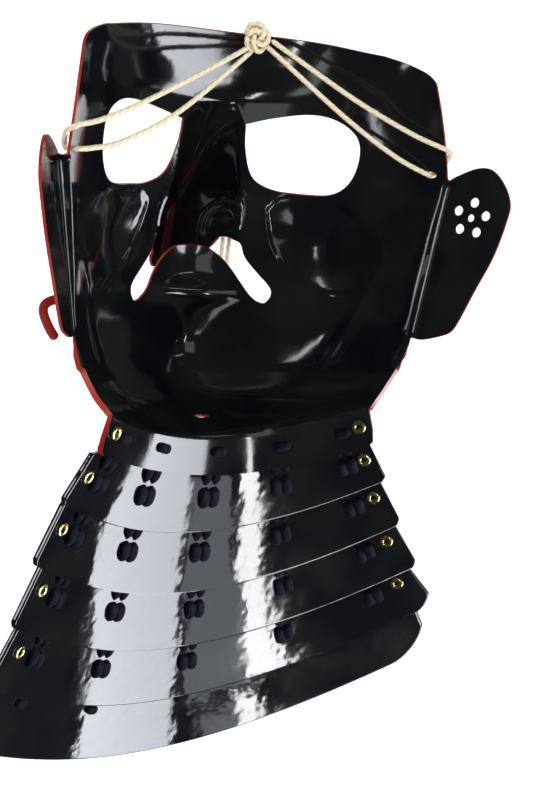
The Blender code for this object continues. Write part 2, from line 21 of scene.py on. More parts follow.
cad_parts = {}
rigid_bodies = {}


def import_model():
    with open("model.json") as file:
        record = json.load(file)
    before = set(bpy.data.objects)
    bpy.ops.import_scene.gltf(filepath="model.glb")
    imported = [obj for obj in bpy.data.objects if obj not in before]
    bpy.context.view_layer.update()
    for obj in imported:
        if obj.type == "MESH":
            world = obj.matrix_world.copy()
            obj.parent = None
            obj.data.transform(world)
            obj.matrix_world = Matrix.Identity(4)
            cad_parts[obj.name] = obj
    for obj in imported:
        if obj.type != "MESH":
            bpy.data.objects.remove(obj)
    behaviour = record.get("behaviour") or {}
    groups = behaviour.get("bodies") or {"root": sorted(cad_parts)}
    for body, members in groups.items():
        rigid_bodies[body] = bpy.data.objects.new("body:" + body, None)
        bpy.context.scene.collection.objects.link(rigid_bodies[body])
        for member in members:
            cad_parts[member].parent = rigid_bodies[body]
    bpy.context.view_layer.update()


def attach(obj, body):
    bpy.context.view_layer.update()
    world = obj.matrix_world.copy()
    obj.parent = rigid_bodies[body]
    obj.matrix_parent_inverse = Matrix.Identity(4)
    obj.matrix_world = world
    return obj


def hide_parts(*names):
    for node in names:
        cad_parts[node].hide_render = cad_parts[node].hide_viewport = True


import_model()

MM = 0.001
EASED_ANGLE = math.radians(62)
ROOT = "root"
LOG = logging.getLogger("face_guard")

Form = Callable[[np.ndarray], np.ndarray]
Profile = Callable[[np.ndarray, np.ndarray], tuple[np.ndarray, np.ndarray]]
Loop = list[Vector]
Points = Sequence[Sequence[float]]
Rgb = tuple[float, float, float]
Place = tuple[float, float, float]


class Side(Enum):
    """The wearer's sides, as the sign of X."""

    LEFT = 1
    RIGHT = -1


class Slot(Enum):
    """The record's material slots."""

    BLACK = "black_lacquer"
    RED = "red_lacquer"
    BRAID = "navy_braid"
    BRASS = "brass"
    CORD = "hemp_cord"


# ---- Curves and tables ----


def smooth(t: np.ndarray) -> np.ndarray:
    """Eases a share from 0 to 1, level at both ends."""
    t = np.clip(t, 0.0, 1.0)
    return t * t * (3 - 2 * t)


def read_table(rows: Sequence, column: str, at: np.ndarray) -> np.ndarray:
    """Reads a column of a table smoothly.

    Args:
        rows: The rows, from the highest to the lowest, each with a height v.
        column: The name of the value.
        at: The heights to read it at.

    Returns:
        The values at those heights.
    """
    heights = np.array([row.v for row in rows][::-1], float)
    values = np.array([getattr(row, column) for row in rows][::-1], float)
    slopes = np.gradient(values, heights)
    at = np.clip(at, heights[0], heights[-1])
    low = np.clip(np.searchsorted(heights, at) - 1, 0, len(heights) - 2)
    step = heights[low + 1] - heights[low]
    t = (at - heights[low]) / step
    return (
        (2 * t**3 - 3 * t**2 + 1) * values[low]
        + (t**3 - 2 * t**2 + t) * step * slopes[low]
        + (3 * t**2 - 2 * t**3) * values[low + 1]
        + (t**3 - t**2) * step * slopes[low + 1]
    )


def run_through(rows: Points, step: float, least: int = 1) -> Loop:
    """Follows a smooth curve through some points.

    Args:
        rows: The points that the curve passes. What comes after their third value is carried along.
        step: About how far apart the found points are.
        least: The fewest points from one given point to the next.

    Returns:
        The points found, without the last of the given ones.
    """
    points = [Vector(row) for row in rows]
    ends = [2 * points[0] - points[1], *points, 2 * points[-1] - points[-2]]
    if (points[0] - points[-1]).length < 1e-6:
        ends[0], ends[-1] = points[0], points[-1]
    found = []
    for before, start, end, after in zip(ends, ends[1:], ends[2:], ends[3:]):
        count = max(least, round(Vector((end - start)[:3]).length / step))
        for i in range(count):
            t = i / count
            found.append(
                0.5 * (2 * start + (end - before) * t + (2 * before - 5 * start + 4 * end - after) * t**2
                       + (3 * start - before - 3 * end + after) * t**3)
            )
    return found


def flat_array(points: Points) -> np.ndarray:
    """The points as rows of an array."""
    return np.array([tuple(p) for p in points])


def distance_to(run: np.ndarray, spots: np.ndarray) -> tuple[np.ndarray, np.ndarray]:
    """Measures from spots of a pattern to a run.

    Args:
        run: The run's points, one to a row.
        spots: The spots, one to a row.

    Returns:
        How far each spot is from the run, and where along it the nearest place is, from 0 to 1.
    """
    nearest, place = np.full(len(spots), np.inf), np.zeros(len(spots))
    for i, (a, b) in enumerate(zip(run[:-1], run[1:])):
        way = b - a
        t = np.clip((spots - a) @ way / (way @ way), 0, 1)
        far = np.linalg.norm(spots - a - t[:, None] * way, axis=1)
        place = np.where(far < nearest, (i + t) / (len(run) - 1), place)
        nearest = np.minimum(nearest, far)
    return nearest, place


def search_tree(points: Points) -> KDTree:
    """A tree that finds the nearest of some places."""
    tree = KDTree(len(points))
    for i, point in enumerate(points):
        tree.insert(point, i)
    tree.balance()
    return tree


def divided(points: Sequence[Vector], step: float) -> Loop:
    """The points of an open run, with each straight stretch divided to steps no longer than step."""
    found = []
    for start, end in zip(points, points[1:]):
        count = max(1, math.ceil((end - start).length / step))
        found += [start.lerp(end, i / count) for i in range(count)]
    return [*found, points[-1]]


def mirrored(points: Sequence[Vector]) -> Loop:
    """The same points on the other side, in the other order, so that an outline stays one loop."""
    return [Vector((-p[0], *p[1:])) for p in reversed(points)]


def circle(centre: Sequence[float], radius: float, count: int) -> Loop:
    """Points round a circle in a pattern."""
    turn = math.tau / count
    return [
        Vector((centre[0] + radius * math.cos(i * turn), centre[1] + radius * math.sin(i * turn)))
        for i in range(count)
    ]


# ---- Plates ----


def inside(points: np.ndarray, loop: np.ndarray) -> np.ndarray:
    """Tells which points lie inside a loop.

    Args:
        points: Points of a pattern, one to a row.
        loop: The loop's corners in order.

    Returns:
        True for each point inside.
    """
    hits = np.zeros(len(points), int)
    for (x0, y0), (x1, y1) in zip(loop, np.roll(loop, -1, axis=0)):
        if y0 != y1:
            crosses = (y0 > points[:, 1]) != (y1 > points[:, 1])
            hits += crosses & (points[:, 0] < x0 + (points[:, 1] - y0) * (x1 - x0) / (y1 - y0))
    return hits % 2 == 1


@dataclass
class Sheet:
    """A flat pattern with holes that a form turns into a plate's inner face.

    Attributes:
        outline: The pattern's edge, in order.
        holes: The edges of its openings.
        creases: Runs that the mesh has edges along.
        spacing: The distance between mesh points.
        clearance: The share of that distance that they keep from every rim point.
    """

    outline: Loop
    holes: list[Loop] = field(default_factory=list)
    creases: list[Loop] = field(default_factory=list)
    spacing: float = 1.3
    clearance: float = 0.62

    def holds(self, spots: np.ndarray) -> np.ndarray:
        """Tells which spots lie in the sheet and in none of its openings."""
        keep = inside(spots, np.array(self.outline))
        for hole in self.holes:
            keep &= ~inside(spots, np.array(hole))
        return keep

    def field_points(self, rims: list[tuple[float, float]]) -> np.ndarray:
        """An even field of points in the sheet, clear of every rim point."""
        outline = np.array(self.outline)
        low, high = outline.min(axis=0), outline.max(axis=0)
        row_step = self.spacing * math.sqrt(0.75)
        rows = np.arange(low[1] + row_step / 2, high[1], row_step)
        reach = math.ceil(max(-low[0], high[0]) / self.spacing) + 1
        spots = np.array([
            ((i + 0.5 * (j % 2)) * self.spacing, y) for j, y in enumerate(rows) for i in range(-reach, reach)
        ])
        spots = spots[self.holds(spots)]
        tree = search_tree([(*rim, 0.0) for rim in rims])
        nearest = np.array([tree.find((x, y, 0.0))[2] for x, y in spots])
        return spots[nearest > self.clearance * self.spacing]

    def mesh_points(self) -> tuple[np.ndarray, np.ndarray]:
        """Meshes the pattern.

        Returns:
            The flat points and the triangles between them.
        """
        points, edges = [], []
        loops = [self.outline, *self.holes]
        for number, run in enumerate(loops + self.creases):
            first, count = len(points), len(run)
            points += [tuple(p) for p in run]
            closing = 1 if number < len(loops) else 0
            edges += [(first + i, first + (i + 1) % count) for i in range(count - 1 + closing)]
        spots = self.field_points(points)
        flat, _, triangles, *_ = geometry.delaunay_2d_cdt(
            [Vector(p) for p in points] + [Vector(p) for p in spots], edges, [], 0, 1e-6
        )
        flat, triangles = np.array(flat), np.array(triangles)
        middles = flat[triangles].mean(axis=1)
        used, index = np.unique(triangles[self.holds(middles)], return_inverse=True)
        return flat[used], index.reshape(-1, 3)


def inset(loop: Loop, distance: float) -> Loop:
    """A closed run that follows a pattern's edge at this distance inside it."""
    area = sum(p.x * q.y - q.x * p.y for p, q in zip(loop, [*loop[1:], loop[0]]))
    run = []
    for before, point, after in zip([loop[-1], *loop[:-1]], loop, [*loop[1:], loop[0]]):
        along = (after - before).normalized()
        run.append(point + math.copysign(distance, area) * Vector((-along.y, along.x)))
    return [*run, run[0]]


@dataclass(frozen=True)
class Wall:
    """How thick a plate is and how its edges are eased.

    Attributes:
        thickness: From the inner face outwards.
        ease: The width of the rounding along every edge.
        skins: The materials of the inner face, of the rest and of places with a painted highlight.
    """

    thickness: float
    ease: float
    skins: tuple[bpy.types.Material, ...]


def only(item: bpy.types.Object) -> None:
    """Selects one object and makes it the active one."""
    bpy.ops.object.select_all(action="DESELECT")
    item.select_set(True)
    bpy.context.view_layer.objects.active = item


def modified(piece: bpy.types.Object, kind: str, **settings: object) -> None:
    """Adds a modifier with these settings to the active piece and applies it."""
    made = piece.modifiers.new(kind.lower(), kind)
    for key, value in settings.items():
        setattr(made, key, value)
    bpy.ops.object.modifier_apply(modifier=made.name)


@contextmanager
def editing() -> Iterator[None]:
    """Opens the active piece with everything in it selected, and closes it again."""
    bpy.ops.object.mode_set(mode="EDIT")
    bpy.ops.mesh.select_all(action="SELECT")
    yield
    bpy.ops.object.mode_set(mode="OBJECT")


def numbers(items: bpy.types.bpy_prop_collection, name: str, kind: type, width: int = 1) -> np.ndarray:
    """Reads a value of every item of a mesh, width numbers to a row."""
    found = np.zeros(len(items) * width, kind)
    items.foreach_get(name, found)
    return found.reshape(-1, width) if width > 1 else found


def new_piece(name: str, mesh: bpy.types.Mesh) -> bpy.types.Object:
    """An object in the scene that holds the mesh."""
    item = bpy.data.objects.new(name, mesh)
    bpy.context.scene.collection.objects.link(item)
    return item


def formed_plate(name: str, sheet: Sheet, form: Form, wall: Wall, share: Form | None = None
                 ) -> bpy.types.Object:
    """Forms a sheet, grows its wall outwards and eases its edges.

    Args:
        name: The piece's name.
        sheet: The flat pattern.
        form: The place in space of each flat point, on the inner face.
        wall: The thickness, the easing and the materials.
        share: The share of the thickness that the wall has at each flat point.

    Returns:
        The plate.
    """
    flat, triangles = sheet.mesh_points()
    places = form(flat) * MM
    mesh = bpy.data.meshes.new(name)
    mesh.from_pydata(places.tolist(), [], triangles.tolist())
    for skin in wall.skins:
        mesh.materials.append(skin)
    plate = new_piece(name, mesh)
    only(plate)
    if share is not None:
        group = plate.vertex_groups.new(name="wall")
        for i, weight in enumerate(share(flat)):
            group.add([i], float(weight), "REPLACE")
    shaping = "wall" if share else ""
    modified(plate, "SOLIDIFY", thickness=wall.thickness * MM, offset=1.0, vertex_group=shaping)
    paint_faces(plate.data, places)
    modified(plate, "BEVEL", width=wall.ease * MM, segments=2, limit_method="ANGLE", angle_limit=EASED_ANGLE)
    plate.data.shade_smooth()
    return plate


def paint_faces(mesh: bpy.types.Mesh, inner: np.ndarray) -> None:
    """Gives the first material to faces that lie wholly on the inner face, and the second to the rest."""
    co, count = numbers(mesh.vertices, "co", np.float32, 3), len(inner)
    first_is_inner = np.abs(co[:count] - inner).max() < np.abs(co[count : 2 * count] - inner).max()
    on_inner = np.zeros(len(co), bool)
    on_inner[slice(0, count) if first_is_inner else slice(count, 2 * count)] = True
    corners = numbers(mesh.loops, "vertex_index", np.int32)
    starts = numbers(mesh.polygons, "loop_start", np.int32)
    outside = np.add.reduceat((~on_inner[corners]).astype(int), starts) > 0
    mesh.polygons.foreach_set("material_index", outside.astype(np.int32))
    mesh.update()


# ---- Swept pieces ----


@dataclass(frozen=True)
class Track:
    """A path in millimetres with the ways across and out of it at each point."""

    at: np.ndarray
    across: np.ndarray
    out: np.ndarray

    @property
    def along(self) -> np.ndarray:
        """The distance from the start at each point."""
        return np.concatenate([[0.0], np.cumsum(np.linalg.norm(np.diff(self.at, axis=0), axis=1))])


def free_track(points: Sequence[Vector], first_out: Vector) -> Track:
    """Carries a way out along a free path without twisting it.

    Args:
        points: The path's points.
        first_out: Roughly the way out at the start.

    Returns:
        The track.
    """
    points = [Vector(p) for p in points]
    ends = [points[0], *points, points[-1]]
    out, acrosses, outs = first_out, [], []
    for before, after in zip(ends, ends[2:]):
        way = (after - before).normalized()
        out = (out - way * out.dot(way)).normalized()
        outs.append(out.copy())
        acrosses.append(way.cross(out))
    return Track(np.array(points), np.array(acrosses), np.array(outs))


def swept(name: str, track: Track, profile: Profile, sides: int, skin: bpy.types.Material
          ) -> bpy.types.Object:
    """Sweeps a profile along a track and closes both ends.

    Args:
        name: The piece's name.
        track: The path to follow.
        profile: Gives how far across and out the surface lies, from the distance along and the angle round.
        sides: The number of points round.
        skin: The material.

    Returns:
        The piece, with its UV map across and along, the latter in centimetres.
    """
    along = track.along
    turn = np.arange(sides) * math.tau / sides
    across, out = profile(along[:, None], turn[None, :])
    rings = track.at[:, None] + across[..., None] * track.across[:, None]
    rings = rings + out[..., None] * track.out[:, None]
    count = len(along)
    points = np.vstack([rings.reshape(-1, 3), track.at[:1], track.at[-1:]]) * MM
    i, j = np.meshgrid(np.arange(count - 1), np.arange(sides), indexing="ij")
    after = (j + 1) % sides
    quads = np.stack([i * sides + j, (i + 1) * sides + j, (i + 1) * sides + after, i * sides + after], -1)
    first, last = count * sides, count * sides + 1
    ring_end = (count - 1) * sides
    caps = [(first, k, (k + 1) % sides) for k in range(sides)]
    caps += [(last, ring_end + (k + 1) % sides, ring_end + k) for k in range(sides)]
    mesh = bpy.data.meshes.new(name)
    mesh.from_pydata(points.tolist(), [], quads.reshape(-1, 4).tolist() + caps)
    u, v = (j.reshape(-1) + np.array([[0], [1]])) / sides, along[i.reshape(-1) + np.array([[0], [1]])] / 10
    quad_uv = np.stack([np.stack([u[a], v[b]], 1) for a, b in ((0, 0), (0, 1), (1, 1), (1, 0))], 1)
    cap_uv = np.zeros((len(caps) * 3, 2))
    cap_uv[len(cap_uv) // 2 :, 1] = along[-1] / 10
    layer = mesh.uv_layers.new(name="UVMap")
    layer.data.foreach_set("uv", np.vstack([quad_uv.reshape(-1, 2), cap_uv]).ravel().astype(np.float32))
    mesh.materials.append(skin)
    mesh.shade_smooth()
    return new_piece(name, mesh)


# ---- Finishes ----


Socket = bpy.types.NodeSocket


class Graph:
    """Nodes of a material or a group, added and linked in few words."""

    def __init__(self, tree: bpy.types.NodeTree) -> None:
        """Keeps the node tree to build in."""
        self.tree = tree

    def feed(self, node: bpy.types.Node, inputs: dict) -> None:
        """Gives a node's inputs, by name or number, their values or the sockets to take them from."""
        for key, value in inputs.items():
            if isinstance(value, Socket):
                self.tree.links.new(value, node.inputs[key])
            else:
                node.inputs[key].default_value = value

    def add(self, kind: str, inputs: dict | None = None, **settings: object) -> bpy.types.Node:
        """Adds a node.

        Args:
            kind: The node's type.
            inputs: Values or output sockets by input name or number.
            **settings: The node's own settings.

        Returns:
            The node.
        """
        node = self.tree.nodes.new(kind)
        for key, value in settings.items():
            setattr(node, key, value)
        self.feed(node, inputs or {})
        return node

    def place(self) -> Socket:
        """Where a point is on its own piece."""
        return self.add("ShaderNodeTexCoord").outputs["Object"]

    def noise(self, vector: Socket, scale: float, detail: float = 2.0) -> Socket:
        """The value of a noise at this scale."""
        return self.add("ShaderNodeTexNoise", {"Vector": vector, "Scale": scale, "Detail": detail}).outputs[0]

    def ramp(self, value: Socket, low: float, high: float, to: Sequence[float] = (0.0, 1.0)) -> Socket:
        """Maps low to high onto the two values of to, and holds it there."""
        return self.add("ShaderNodeMapRange", {0: value, 1: low, 2: high, 3: to[0], 4: to[1]}).outputs[0]

    def math(self, what: str, a: object, b: object = 0.0) -> Socket:
        """Does sums on two values."""
        return self.add("ShaderNodeMath", {0: a, 1: b}, operation=what).outputs[0]

    def blend(self, share: Socket, low: object, high: object) -> Socket:
        """Mixes two colours, each a colour or an output socket."""
        ends = [c if isinstance(c, Socket) else (*c, 1.0) for c in (low, high)]
        return self.add("ShaderNodeMix", {0: share, 6: ends[0], 7: ends[1]}, data_type="RGBA").outputs[2]

    def bump(self, height: Socket, distance: float, strength: float = 1.0) -> Socket:
        """The way out of a surface with this relief, its distance in metres."""
        inputs = {"Height": height, "Distance": distance, "Strength": strength}
        return self.add("ShaderNodeBump", inputs).outputs[0]


class Group:
    """A node group that several finishes share, made the first time that it is asked for."""

    name: str
    given: dict[str, str]
    made: tuple[str, ...]

    @classmethod
    def tree(cls) -> bpy.types.NodeTree:
        """Builds the group, or finds it where it is built already."""
        found = bpy.data.node_groups.get(cls.name)
        if found:
            return found
        group = bpy.data.node_groups.new(cls.name, "ShaderNodeTree")
        for name, kind in cls.given.items():
            group.interface.new_socket(name, in_out="INPUT", socket_type=f"NodeSocket{kind}")
        for name in cls.made:
            group.interface.new_socket(name, in_out="OUTPUT", socket_type="NodeSocketFloat")
        graph = Graph(group)
        values = cls.values(graph, graph.add("NodeGroupInput").outputs)
        graph.feed(graph.add("NodeGroupOutput"), dict(zip(cls.made, values)))
        return group

    @classmethod
    def use(cls, graph: Graph, inputs: dict) -> list[Socket]:
        """Adds the group to a graph, fed with these inputs, and returns its outputs."""
        node = graph.add("ShaderNodeGroup", node_tree=cls.tree())
        graph.feed(node, inputs)
        return list(node.outputs)

    @staticmethod
    def values(graph: Graph, given: bpy.types.NodeOutputs) -> tuple[Socket, ...]:
        """The group's outputs, made from what it is given. Each group has its own."""
        raise NotImplementedError


class LacquerDepth(Group):
    """The slow clouds, fine dust and soft waviness that every lacquered face has."""

    name = "lacquer_depth"
    given = {"Vector": "Vector", "Waviness": "Float"}
    made = ("Cloud", "Dust", "Height")

    @staticmethod
    def values(graph: Graph, given: bpy.types.NodeOutputs) -> tuple[Socket, ...]:
        """The share of haze, the share of dust and the height of the waves."""
        place = given["Vector"]
        waves = graph.math("MULTIPLY", graph.noise(place, 70.0), given["Waviness"])
        fine = graph.math("MULTIPLY", graph.noise(place, 420.0, 3.0), 0.05)
        return (graph.ramp(graph.noise(place, 34.0, 5.0), 0.36, 0.66),
                graph.ramp(graph.noise(place, 1300.0), 0.66, 0.78), graph.math("ADD", waves, fine))


class LaidStrands(Group):
    """Strands laid slantwise along a swept piece: 1 along the middle of a strand and 0 in the furrow between
    strands.
    """

    name = "laid_strands"
    given = {"Around": "Float", "Along": "Float", "Fold": "Float"}
    made = ("Strand",)

    @staticmethod
    def values(graph: Graph, given: bpy.types.NodeOutputs) -> tuple[Socket, ...]:
        """The height of the strands, from the piece's UV map."""
        uv = graph.add("ShaderNodeSeparateXYZ", {0: graph.add("ShaderNodeTexCoord").outputs["UV"]})
        folded = graph.math("ABSOLUTE", graph.math("SUBTRACT", uv.outputs[0], given["Fold"]))
        phase = graph.math("ADD", graph.math("MULTIPLY", folded, given["Around"]),
                           graph.math("MULTIPLY", uv.outputs[1], given["Along"]))
        wave = graph.math("SINE", graph.math("MULTIPLY", phase, math.tau))
        return (graph.ramp(wave, -1.0, 0.7),)


def new_material(name: str) -> tuple[bpy.types.Material, Graph, bpy.types.Node]:
    """A new material, its graph and its shader."""
    made = bpy.data.materials.new(name)
    made.use_nodes = True
    return made, Graph(made.node_tree), made.node_tree.nodes["Principled BSDF"]


@dataclass(frozen=True)
class Finish:
    """A material whose shader gets the inputs that its own kind of finish works out."""

    name: str

    def material(self) -> bpy.types.Material:
        """Builds the material."""
        made, graph, shader = new_material(self.name)
        graph.feed(shader, self.inputs(graph))
        return made

    def inputs(self, graph: Graph) -> dict:
        """The shader's inputs. Each kind of finish has its own."""
        raise NotImplementedError


@dataclass(frozen=True)
class Lacquer(Finish):
    """A polished coat of lacquer.

    Attributes:
        deep: The colour where the coat is deepest.
        thin: The colour where it is thin or hazy.
        dusty: The colour of the dust that clings to it.
        gloss: The roughness where it is clean and where it is hazy.
        waviness: How uneven the surface is.
        bump: The height of the unevenness, in metres.
    """

    deep: Rgb
    thin: Rgb
    dusty: Rgb
    gloss: tuple[float, float]
    waviness: float = 1.0
    bump: float = 0.00035

    def inputs(self, graph: Graph) -> dict:
        """The shader's inputs."""
        cloud, dust, height = LacquerDepth.use(graph, {"Vector": graph.place(), "Waviness": self.waviness})
        coat = graph.blend(cloud, self.deep, self.thin)
        rough = graph.ramp(cloud, 0.0, 1.0, self.gloss)
        return {
            "Base Color": graph.blend(graph.math("MULTIPLY", dust, 0.25), coat, self.dusty),
            "Roughness": graph.math("ADD", rough, graph.math("MULTIPLY", dust, 0.10)),
            "Normal": graph.bump(height, self.bump),
            "IOR": 1.54,
        }


@dataclass(frozen=True)
class Braid(Finish):
    """Flat braided silk, with the colour on top of its strands and a darker one between them, which is painted
    shade.
    """

    groove_shade: Rgb
    strand: Rgb

    def inputs(self, graph: Graph) -> dict:
        """The shader's inputs."""
        strands, = LaidStrands.use(graph, {"Around": 8.0, "Along": 11.0, "Fold": 0.25})
        fibre = graph.noise(graph.place(), 2600.0, 3.0)
        # The colour between the strands is darker: painted shade.
        share = graph.math("MULTIPLY", strands, graph.ramp(fibre, 0.3, 0.7, (0.5, 1.0)))
        return {
            "Base Color": graph.blend(share, self.groove_shade, self.strand),
            "Normal": graph.bump(share, 0.0003, 0.8),
            "Roughness": 0.62,
            "Specular IOR Level": 0.25,
            "Sheen Weight": 0.08,
            "Sheen Roughness": 0.4,
            "Sheen Tint": (0.35, 0.4, 0.9, 1.0),
        }


@dataclass(frozen=True)
class Hemp(Finish):
    """Twisted plant-fibre cord.

    Attributes:
        groove_shade: The darker colour between the plies, which is painted shade.
        ply: The colour on top of the plies.
        worn: The colour of worn places.
        plies: The number of plies.
        pitch: The length of one full twist, in centimetres.
    """

    groove_shade: Rgb
    ply: Rgb
    worn: Rgb
    plies: int
    pitch: float

    def inputs(self, graph: Graph) -> dict:
        """The shader's inputs."""
        twist = {"Around": self.plies, "Along": -self.plies / self.pitch, "Fold": -2.0}
        strands, = LaidStrands.use(graph, twist)
        place = graph.place()
        fibre = graph.noise(place, 2200.0, 4.0)
        patch = graph.ramp(graph.noise(place, 160.0, 3.0), 0.35, 0.7)
        # Between the plies the colour darkens: painted shade.
        share = graph.math("MULTIPLY", strands, graph.ramp(fibre, 0.3, 0.65, (0.55, 1.0)))
        worn = graph.blend(graph.math("MULTIPLY", patch, 0.35), self.ply, self.worn)
        return {
            "Base Color": graph.blend(share, self.groove_shade, worn),
            "Normal": graph.bump(share, 0.00025, 0.7),
            "Roughness": 0.85,
        }


@dataclass(frozen=True)
class Gilt(Finish):
    """Polished brass with a thin tarnish."""

    bright: Rgb
    tarnish: Rgb

    def inputs(self, graph: Graph) -> dict:
        """The shader's inputs."""
        place = graph.place()
        patch = graph.ramp(graph.noise(place, 420.0, 3.0), 0.4, 0.65)
        return {
            "Base Color": graph.blend(patch, self.bright, self.tarnish),
            "Roughness": graph.ramp(patch, 0.0, 1.0, (0.12, 0.34)),
            "Normal": graph.bump(graph.noise(place, 900.0), 0.00012),
            "Metallic": 1.0,
        }


INK = (0.0022, 0.0025, 0.0042), (0.0060, 0.0066, 0.0070), (0.05, 0.048, 0.042)
BLACK = Lacquer("black_lacquer_gloss", *INK, (0.07, 0.13), 0.3).material()
# Pale grey lacquer that paints a highlight along the ear creases.
CREASE_HIGHLIGHT = Lacquer("worn_lacquer", (0.15, 0.155, 0.16), (0.34, 0.35, 0.36), (0.30, 0.30, 0.29),
               (0.18, 0.34), 0.2).material()
RIPPLED = Lacquer("black_lacquer_rippled", *INK, (0.045, 0.10), 0.75).material()
RED = Lacquer("red_lacquer_satin", (0.26, 0.014, 0.010), (0.32, 0.030, 0.020), (0.35, 0.12, 0.09),
              (0.18, 0.30), 0.6).material()
NAVY = Braid("navy_silk_braid", (0.0008, 0.0009, 0.004), (0.0026, 0.0030, 0.017)).material()
CREAM = Hemp("cream_twisted_hemp", (0.76, 0.67, 0.45), (0.93, 0.88, 0.71), (0.72, 0.60, 0.38),
             2, 0.9).material()
BRASS = Gilt("gilt_brass", (0.83, 0.72, 0.33), (0.42, 0.40, 0.09)).material()


# ---- The face and its ears ----


@dataclass(frozen=True)
class Section:
    """A level section of the face sheet.

    It starts at its ear line, at height v. Its middle is pushed out to mid_y and hangs at mid_z. bow is the
    share of a parabola in its curve; the rest is flatter.
    """

    v: float
    ear_x: float
    ear_y: float
    mid_y: float
    mid_z: float
    bow: float


@dataclass(frozen=True)
class Nose:
    """The nose at height v: half its width, how far it stands out and how far it droops."""

    v: float
    half_width: float
    depth: float
    droop: float


@dataclass(frozen=True)
class Swelling:
    """A round swelling of the face, mirrored where x isn't 0. A negative depth comes back in."""

    x: float
    v: float
    half_x: float
    half_v: float
    depth: float

    def raised(self, x: np.ndarray, v: np.ndarray) -> np.ndarray:
        """How far it pushes the sheet out at each point."""
        across, up = (x - self.x) / self.half_x, (v - self.v) / self.half_v
        return self.depth * np.exp(-(across**2 + up**2))


@dataclass(frozen=True)
class Pocket:
    """A part of the sheet that is pushed out inside a closed line, with a rounded shoulder along it."""

    outline: Points
    depth: float
    shoulder: float

    def sunk(self, x: np.ndarray, v: np.ndarray) -> np.ndarray:
        """How far the sheet is pushed out at each point."""
        loop = run_through(self.outline, 2.5)
        loop = flat_array([*loop, loop[0]])
        spots = np.stack([x, v], axis=1)
        nearest, _ = distance_to(loop, spots)
        return np.where(inside(spots, loop), self.depth * smooth(nearest / self.shoulder), 0.0)


@dataclass(frozen=True)
class Fold:
    """A fine raised fold along a line of the pattern, mirrored: its height and half its width."""

    line: Points
    height: float
    half: float
    step: float = 1.5

    def raised(self, x: np.ndarray, v: np.ndarray) -> np.ndarray:
        """How far the sheet stands up at each point."""
        run = flat_array(run_through(self.line, self.step))
        nearest, place = distance_to(run, np.stack([np.abs(x), v], axis=1))
        ends = smooth(place / 0.2) * smooth((1 - place) / 0.15)
        return self.height * ends * np.exp(-((nearest / self.half) ** 2))

    def runs(self) -> list[Loop]:
        """Lines of the mesh along the fold."""
        run = run_through(self.line, self.step)
        ways = [(b - a).normalized() for a, b in zip(run[:-1], run[1:])]
        ways.append(ways[-1])
        return [[p + Vector((-way.y, way.x)) * (share * self.half) for p, way in zip(run, ways)]
                for share in (-1.7, -1.0, -0.5, 0.0, 0.5, 1.0, 1.7)]


@dataclass(frozen=True)
class Edge:
    """A plate edge of the throat guard: its ends and the middle of its curve."""

    half_width: float
    end_y: float
    end_z: float
    mid_y: float
    mid_z: float

    def y(self, share: np.ndarray) -> np.ndarray:
        """How far forward the edge is at a share of its half width."""
        return self.mid_y + (self.end_y - self.mid_y) * share**2

    def z(self, share: np.ndarray) -> np.ndarray:
        """How high the edge is at a share of its half width."""
        return self.mid_z + (self.end_z - self.mid_z) * share**2


FLANGE_WALL = 1.6
WAIST_V = -104.5
GUARD_EDGES = (
    Edge(61.6, -2.5, -104.5, -28.0, -120.0),
    Edge(65.8, -2.6, -121.5, -28.0, -139.5),
    Edge(78.0, -10.0, -143.0, -39.0, -170.0),
    Edge(89.0, -14.5, -168.5, -50.0, -203.5),
    Edge(100.0, -18.5, -195.0, -61.5, -236.0),
    Edge(110.0, -23.0, -222.0, -73.0, -268.5),
    Edge(120.5, -28.0, -248.0, -84.5, -301.0),
)


